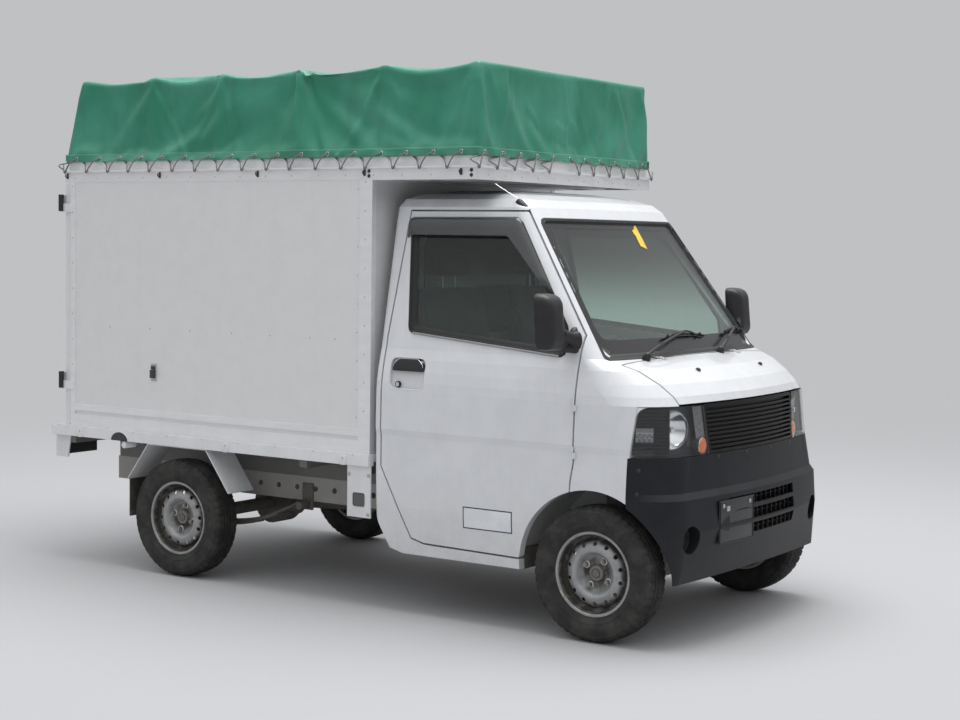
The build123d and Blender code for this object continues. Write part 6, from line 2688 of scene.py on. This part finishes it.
def addVents(shape):
    look = insideShape
    wide, high = (size / 2 for size in metres(look["ventSize"]))
    bar = look["ventBar"] / 1000
    for vent in look["vents"]:
        y, z = metres(vent)
        place, _ = landing("dashboard", (fromAxle(look["ray"]), y, z), (1, 0, 0))
        x = place.x
        for sign in (1, -1):
            for middle, across, tall in (
                ((y, z + sign * high), wide, bar), ((y + sign * wide, z), bar, high)
            ):
                low = (x - bar, middle[0] - across, middle[1] - tall)
                addBox(shape, low, (x + bar, middle[0] + across, middle[1] + tall), 0.001)
        addBox(shape, (x - 0.0005, y - wide, z - high), (x + 0.001, y + wide, z + high), 0, 1)
        for k in range(5):
            level = z - high + 2 * high * (k + 0.5) / 5
            addBox(shape, (x - 0.003, y - wide, level - 0.0012), (x + 0.001, y + wide, level + 0.0012))


def addDials(shape, driver):
    # A face with two rings of ticks and needles, and the radio blank with its two knobs
    look = insideShape
    place, _ = landing("dashboard", (fromAxle(look["ray"]), driver, 1.05), (1, 0, 0))
    x = place.x
    addBox(shape, (x - 0.0025, driver - 0.125, 1.008), (x + 0.001, driver + 0.125, 1.086), 0.001, 1)
    level = look["dialHeight"]
    for aside, radius in look["dials"]:
        y = driver + aside
        for k in range(look["ticks"]):
            spot = turned(
                (x - 0.0028, y, level), -30 + 10 * k, "X"
            ) @ Matrix.Translation((0, radius, 0))
            addBox(
                shape, (-0.0004, -0.004 if k % 4 == 0 else -0.0022, -0.0005), (0.0004, 0, 0.0005), 0, 2,
                spot
            )
        needle = [(x - 0.0032, y, level), (x - 0.0032, y - radius * 0.5, level - radius * 0.6)]
        addTube(shape, needle, 0.0008, 6, slot=3)
    place, _ = landing("dashboard", (fromAxle(look["ray"]), 0, 0.93), (1, 0, 0))
    addBox(shape, (place.x - 0.005, -0.09, 0.905), (place.x + 0.004, 0.09, 0.950), 0.002, 1)
    for k in (-1, 1):
        addLathe(
            shape, [(0.011, 0), (0.0105, 0.012), (0.009, 0.014), (0, 0.014)], 20,
            turned((place.x - 0.004, 0.068 * k, 0.928), -90, "Y"), 0
        )


def addControls(shape, driver):
    # Column stalks, gear lever with its gaiter, handbrake and three pedals
    look = insideShape
    for sign in (1, -1):
        path = [axlePoint(x, driver + sign * y, z) for x, y, z in look["stalk"]]
        addTube(shape, path, [0.006, 0.0055, 0.008], 12)
    foot, _ = landing("cab_floor", (fromAxle(-330), -0.045, 1.0), (0, 0, -1))
    ribbed = [(0.052 - 0.0042 * k + (0.005 if k % 2 else 0), 0.010 * k) for k in range(9)]
    addLathe(shape, ribbed, 32, Matrix.Translation(foot), 1)
    addTube(shape, [foot + Vector(step) for step in look["leverPath"]], 0.0065, 12, slot=3)
    addLathe(shape, look["leverKnob"], 28, Matrix.Translation(foot + Vector((-0.06, 0.004, 0.35))), 1)
    base, _ = landing("seat_box", (fromAxle(-640), -0.02, 1.2), (0, 0, -1))
    if base is not None:
        addTube(
            shape, [base + Vector(step) for step in look["brakePath"]], [0.011, 0.010, 0.013], 14,
            slot=1
        )
        addBox(
            shape, tuple(base + Vector((-0.07, -0.03, 0))), tuple(base + Vector((0.04, 0.03, 0.018))),
            0.004, 1
        )
    for y, wide in look["pedals"]:
        addBox(
            shape, (-0.006, -wide, -0.030), (0.004, wide, 0.030), 0.003, 1,
            turned((fromAxle(-64), y, 0.56), 32, "Y")
        )
        addTube(
            shape, [axlePoint(x, y, z) for x, z in ((-58, 0.56), (-20, 0.66), (-10, 0.80))], 0.006, 10,
            slot=3
        )


def addVisors(shape):
    # Sun visors against the roof, and the inner mirror on the header
    look = insideShape
    y0, wide, deep = metres(look["visor"])
    for sign in (1, -1):
        roof, _ = landing("cab_shell", (fromAxle(-560), sign * y0, 1.35), (0, 0, 1))
        if roof is None:
            continue
        ahead, _ = landing("cab_shell", (fromAxle(-500), sign * y0, 1.35), (0, 0, 1))
        along = (ahead - roof).normalized() if ahead is not None else Vector((1, 0, 0))
        place = Matrix.Translation(roof - Vector((0, 0, 0.016))) @ Matrix.Rotation(
            -math.atan2(along.z, along.x), 4, "Y"
        )
        addBox(shape, (-deep / 2, -wide, -0.006), (deep / 2, wide, 0.006), 0.005, 4, place)
        pin = [
            place @ Vector((deep / 2 - 0.01, -wide - out, up))
            for out, up in ((0, 0), (0.015, 0.004), (0.02, 0.016))
        ]
        addTube(shape, pin, 0.004, 8)
    roof, _ = landing("cab_shell", (fromAxle(-500), 0, 1.35), (0, 0, 1))
    if roof is not None:
        glass = roof + Vector((0.02, 0, -0.075))
        addTube(
            shape,
            [
                roof + Vector((0, 0, -0.001)), roof + Vector((0.015, 0, -0.03)),
                glass + Vector((0.008, 0, 0))
            ],
            0.006, 10
        )
        outline = roundedOutline(fourCorners(-0.03, 0.03, -0.105, 0.105), 0.014, 5)
        turn = turned(glass, -82, "Y")
        addPrism(
            shape, [(p[0], p[1]) for p in outline], turn @ Matrix.Translation((0, 0, -0.012)), 0.018, 0,
            bevel=0.003
        )
        addPrism(
            shape, [(p[0] * 0.88, p[1] * 0.95) for p in outline],
            turn @ Matrix.Translation((0, 0, 0.0062)), 0.0004, 5
        )


def buildInside():
    shape = newShape()
    driver = insideShape["driver"] / 1000
    addVents(shape)
    addDials(shape, driver)
    addControls(shape, driver)
    addVisors(shape)
    addPiece(
        shape, "cabFittings", "root",
        ["gripPlastic", "darkPlastic", "labelWhite", "springSteel", "cabinPlastic", "mirrorGlass"],
    )


def buildDoorTrim():
    # Window crank and pull handle inside each cab door
    look = insideShape
    for side, node in ((1, "door_left"), (-1, "door_right")):
        shape = newShape()
        x, z = look["crank"]
        place, normal = landing(node, (fromAxle(x), side * 0.25, z / 1000), (0, side, 0))
        if place is not None:
            hub = aimed(place, normal)
            addLathe(shape, look["crankHub"], 28, hub)
            arm = place + normal * 0.016
            bend, end = (
                arm + Vector(step) + normal * 0.006 for step in ((0.07, 0, 0.03), (0.12, 0, 0.05))
            )
            addTube(shape, [arm, bend, end], [0.008, 0.006, 0.007], 10)
            addLathe(shape, look["crankKnob"], 20, aimed(end, normal))
        x, z, long = look["pull"]
        place, normal = landing(node, (fromAxle(x), side * 0.25, z / 1000), (0, side, 0))
        if place is not None:
            path = []
            for k in range(13):
                share = k / 12
                stand = 0.032 * min(1, math.sin(math.pi * share) * 1.7)
                spot, n = landing(
                    node, (fromAxle(x + (share - 0.5) * long), side * 0.25, z / 1000), (0, side, 0)
                )
                if spot is not None:
                    path.append(spot + n * stand)
            addTube(shape, path, 0.010, 12)
        addPiece(
            shape, node.replace("_left", "Left").replace("_right", "Right") + "Trim", node,
            "gripPlastic"
        )


buildInside()
buildDoorTrim()
print("cab inside fitted")

# Rear and deck: lamps, blank plate, lock gear, hinge caps, bolts, and the fittings under the deck's edge
rearShape = {
    "lamp": (-2955.6, -2976.5, 481, 699, 500.5, 589.5),
    "parts": ((481, 540, 3), (540, 602, 2), (602, 699, 1)),
    "plate": (-2957.5, 0, 500, 165, 82),
    "plateBolt": 0.105,
    "guide": ((0.0081, -0.022), (0.0125, -0.022), (0.0125, 0.022), (0.0081, 0.022)),
    "rod": (-2941, 22),
    "handle": (1110, 230),
    "rightHandleDrop": 60,
    "skirtBolts": ((-1086, 560), (-1190, 560), (-1088, 395)),
    # a bracket's two steps: half length, how far it stands off the rail, heights and bevel
    "bracketSteps": ((0.022, 0.0022, 0.607, 0.640, 0.0016), (0.012, 0.0018, 0.598, 0.608, 0.0012)),
    "keepers": (740, 1180, 1700),
    "doorEdge": (656, 1792, 706),
    "hinges": (860, 1700),
    "hingePin": (-2943, 724, 12.5),
    "brackets": (-2802, -1879, -1213),
    "cutOut": (-2540, 602, 56),
    "recess": (-1172, -1104, 424, 486),
    "railFace": 737.5,
}


def buildTailLamps():
    look = rearShape
    front, back, y0, y1, z0, z1 = metres(look["lamp"])
    front, back = front + truck["frontAxle"], back + truck["frontAxle"]
    shape = newShape()
    for side in (1, -1):
        low, high = sortedBox((back + 0.008, side * y0, z0), (front, side * y1, z1))
        addBox(shape, low, high, 0.003, 0)
        for a, b, slot in look["parts"]:
            a, b = a / 1000 + 0.0015, b / 1000 - 0.0015
            rows = []
            for j in range(19):
                z = z0 + 0.004 + (z1 - z0 - 0.008) * j / 18
                row = []
                for i in range(21):
                    y = a + (b - a) * i / 20
                    edge = min(i, 20 - i, j, 18 - j)
                    raised = 0.0007 * ((i // 2 + j // 2) % 2)
                    depth = (0.0, 0.0065, 0.0082 + raised)[min(edge, 2)]
                    row.append(Vector((back + 0.0090 - depth, side * y, z)))
                rows.append(row if side > 0 else list(reversed(row)))
            addGrid(shape, rows, slot)
        for a in (y0 + 0.03, y1 - 0.03):
            addRivet(shape, (back + 0.0008, side * a, z0 + 0.010), (-1, 0, 0), 1.0, 4)
    piece = addPiece(
        shape, "tailLamps", "root", ["darkPlastic", "redLens", "amberLens", "clearLens", "zincSteel"],
    )
    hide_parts("tail_lamps")


def buildRearPlate():
    # Blank plate on its bracket, with a small lamp above
    look = rearShape
    x, y, z, half, tall = metres(look["plate"])
    x += truck["frontAxle"]
    shape = newShape()
    plate = roundedOutline(fourCorners(-tall, tall, -half, half), 0.008, 4)
    turn = turned((x - 0.012, y, z), -90, "Y")
    addPrism(shape, [(p[0], p[1]) for p in plate], turn, 0.0012, 0)
    rim = [turn @ Vector((p[0] * 0.975, p[1] * 0.985, 0.0014)) for p in plate]
    addTube(shape, rim, 0.0012, 6, slot=0, closed=True)
    for sign in (1, -1):
        addBolt(
            shape, (x - 0.0133, y + sign * look["plateBolt"], z + 0.058), (-1, 0, 0), 0.006, 0.004, 0.4,
            2
        )
        middle = y + sign * look["plateBolt"]
        addBox(
            shape, (x - 0.0115, middle - 0.012, z + 0.02), (x + 0.0005, middle + 0.012, z + 0.14),
            0.001, 1
        )
    addBox(shape, (x - 0.010, y - 0.14, z - 0.02), (x - 0.008, y + 0.14, z + 0.075), 0.0006, 1)
    addBox(shape, (x - 0.016, y - 0.03, z + 0.088), (x - 0.001, y + 0.03, z + 0.108), 0.004, 3)
    addPiece(
        shape, "rearPlate", "root", ["plateBlack", "framePaintWithPaintedShade", "zincSteel", "darkPlastic"],
    )


def buildDoorGear():
    # Each rear door's lock handle, rod guides, hinge bolts and rivets
    look = rearShape
    bottom, top, outer = metres(look["doorEdge"])
    rodX, rodY = fromAxle(look["rod"][0]), look["rod"][1] / 1000
    for side, node in ((1, "rear_door_left"), (-1, "rear_door_right")):
        shape = newShape()
        z, long = look["handle"][0] / 1000, look["handle"][1] / 1000
        z -= 0 if side > 0 else look["rightHandleDrop"] / 1000
        addLathe(shape, look["guide"], 20, Matrix.Translation((rodX, side * rodY, z)), 0)
        path = [
            Vector((rodX - 0.006, side * (rodY + d), z + dz))
            for d, dz in ((0.006, 0), (0.05, 0.002), (long * 0.6, -0.004), (long, -0.010))
        ]
        addTube(shape, smoothPath(path, 6), 0.0065, 10, slot=0)
        middle = side * (rodY + long * 0.8)
        addBox(
            shape, (rodX + 0.003, middle - 0.016, z - 0.03), (rodX + 0.0155, middle + 0.016, z + 0.016),
            0.002, 0
        )
        for keeper in look["keepers"]:
            for dy, dz in ((-0.010, -0.010), (0.010, -0.010), (-0.010, 0.010), (0.010, 0.010)):
                addRivet(
                    shape, (rodX - 0.0020, side * rodY + dy, keeper / 1000 + dz), (-1, 0, 0), 0.9, 1
                )
        for end in (bottom + 0.024, top - 0.024):
            addBox(
                shape, (rodX - 0.006, side * rodY - 0.010, end - 0.009),
                (rodX + 0.010, side * rodY + 0.020, end + 0.009), 0.002, 0
            )
        for hinge in look["hinges"]:
            for k in range(3):
                spot = axlePoint(-2930, side * (outer - 0.018 - 0.038 * k), hinge / 1000)
                place, normal = landing(node, spot - Vector((0.2, 0, 0)), (1, 0, 0))
                if place is not None:
                    addBolt(shape, place, normal, 0.0052, 0.0035, 0.3 * k, 1)
        for k in range(14):
            z = bottom + 0.03 + (top - bottom - 0.06) * k / 13
            for y in (0.052, outer - 0.008):
                place, normal = landing(node, (fromAxle(-3100), side * y, z), (1, 0, 0))
                if place is not None:
                    addRivet(shape, place, normal, 0.9, 1)
        addPiece(
            shape, ("rearDoorLeft" if side > 0 else "rearDoorRight") + "Gear", node,
            ["zincSteel", "boxExtrusionMetal"]
        )


def buildHingeCaps():
    # Black sleeves over the rear doors' hinge pins
    shape = newShape()
    x, y, radius = metres(rearShape["hingePin"])
    for side in (1, -1):
        for height in rearShape["hinges"]:
            profile = [
                (0, -0.036), (radius - 0.001, -0.036), (radius, -0.035), (radius, 0.041),
                (radius - 0.001, 0.042), (0, 0.042)
            ]
            addLathe(
                shape, profile, 28,
                Matrix.Translation((x + truck["frontAxle"], side * y, height / 1000))
            )
    addPiece(shape, "hingeCaps", "root", "darkPlastic")


def buildDeckDetail():
    look = rearShape
    shape = newShape()
    for side in (1, -1):
        y = look["railFace"] / 1000
        for place in look["brackets"]:
            x = fromAxle(place)
            for half, out, low, high, bevel in look["bracketSteps"]:
                ends = sortedBox(
                    (x - half, side * (y - 0.002), low), (x + half, side * (y + out), high)
                )
                addBox(shape, *ends, bevel)
            addRivet(shape, (x, side * (y + 0.0022), 0.628), (0, side, 0), 1.2, 1)
        # half-round opening in the rail's lower edge: a flat dark face as painted shade inside the
        # opening, a rim round it, and the end of a white stub
        x, z, r = metres(look["cutOut"])
        x += truck["frontAxle"]
        cup = [
            Vector(
                (
                    x + r * math.cos(math.radians(a)), side * (y + 0.0006),
                    z + 0.74 * r * math.sin(math.radians(a)) - 0.002
                )
            )
            for a in range(0, 181, 9)
        ]
        face = cup + [Vector((x - r, side * (y + 0.0006), z - 0.002))]
        addPoly(shape, face if side < 0 else list(reversed(face)), 2)
        addTube(shape, cup, 0.0022, 8, slot=3)
        stub = turned((x + 0.026, side * (y - 0.04), z - 0.02), -90 * side, "X")
        addLathe(
            shape, [(0.016, -0.03), (0.016, 0.036), (0.0145, 0.0385), (0.011, 0.039), (0, 0.039)], 28,
            stub, 4
        )
        # painted shade of the skirt plate's recess as a flat grey panel with a rim, and the plate's bolts
        x0, x1, z0, z1 = look["recess"]
        place, normal = landing(
            "cargo_deck", (fromAxle((x0 + x1) / 2), side * rayStart["side"], (z0 + z1) / 2000),
            (0, -side, 0)
        )
        if place is not None:
            outline = roundedOutline(fourCorners(*metres((x0, x1, z0, z1))), 0.013, 5)
            panel = [axlePoint(p[0] * 1000, place.y + side * 0.0004, p[1]) for p in outline]
            addPoly(shape, panel if side < 0 else list(reversed(panel)), 5)
            addTube(
                shape, [Vector((p.x, place.y + side * 0.003, p.z)) for p in panel], 0.0018, 6, slot=3,
                closed=True
            )
        for x, z in look["skirtBolts"]:
            place, normal = landing(
                "cargo_deck", (fromAxle(x), side * rayStart["side"], z / 1000), (0, -side, 0)
            )
            if place is not None:
                addBolt(shape, place, normal, 0.006, 0.0035, x * 0.1, 6)
        for k in range(9):
            x = fromAxle(-2880 + 215 * k)
            addRivet(shape, (x, side * y, 0.644), (0, side, 0), 0.8, 1)
    addPiece(
        shape, "deckDetail", "root",
        ["deckPaint", "zincSteel", "lampDark", "deckPaint", "whitePlastic", "paintedRecessShade", "zincSteel"],
    )


def buildUnderside():
    # Pipes along the rails, tank straps and clips
    shape = newShape()
    for side, z, slot in ((1, 0.395, 0), (1, 0.408, 0), (-1, 0.400, 1)):
        path = []
        for k in range(34):
            x = fromAxle(-150 - 2150 * k / 33)
            place, normal = landing("chassis_frame", (x, side * 0.30, z), (0, side, 0))
            if place is not None:
                path.append(place + normal * 0.006 + Vector((0, 0, 0.003 * math.sin(k * 0.9))))
        if len(path) > 3:
            addTube(shape, path, 0.003 if slot == 0 else 0.005, 8, slot=slot)
            for spot in path[2::5]:
                addBox(
                    shape, tuple(spot - Vector((0.008, 0.006, 0.007))),
                    tuple(spot + Vector((0.008, 0.006, 0.007))), 0.002, 2
                )
    low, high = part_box("fuel_tank")
    for share in (0.25, 0.75):
        x = low[0] + (high[0] - low[0]) * share
        addTube(
            shape,
            [
                Vector((x, y, z))
                for y, z in (
                    (low[1], high[2]), (low[1] - 0.001, low[2] - 0.001),
                    (high[1] + 0.001, low[2] - 0.001), (high[1], high[2])
                )
            ],
            0.0022, 6, slot=2
        )
    addPiece(
        shape, "undersidePipes", "root", ["zincSteel", "darkPlastic", "springSteel"]
    )


buildTailLamps()
buildRearPlate()
buildDoorGear()
buildHingeCaps()
buildDeckDetail()
buildUnderside()
print("rear and underside dressed")
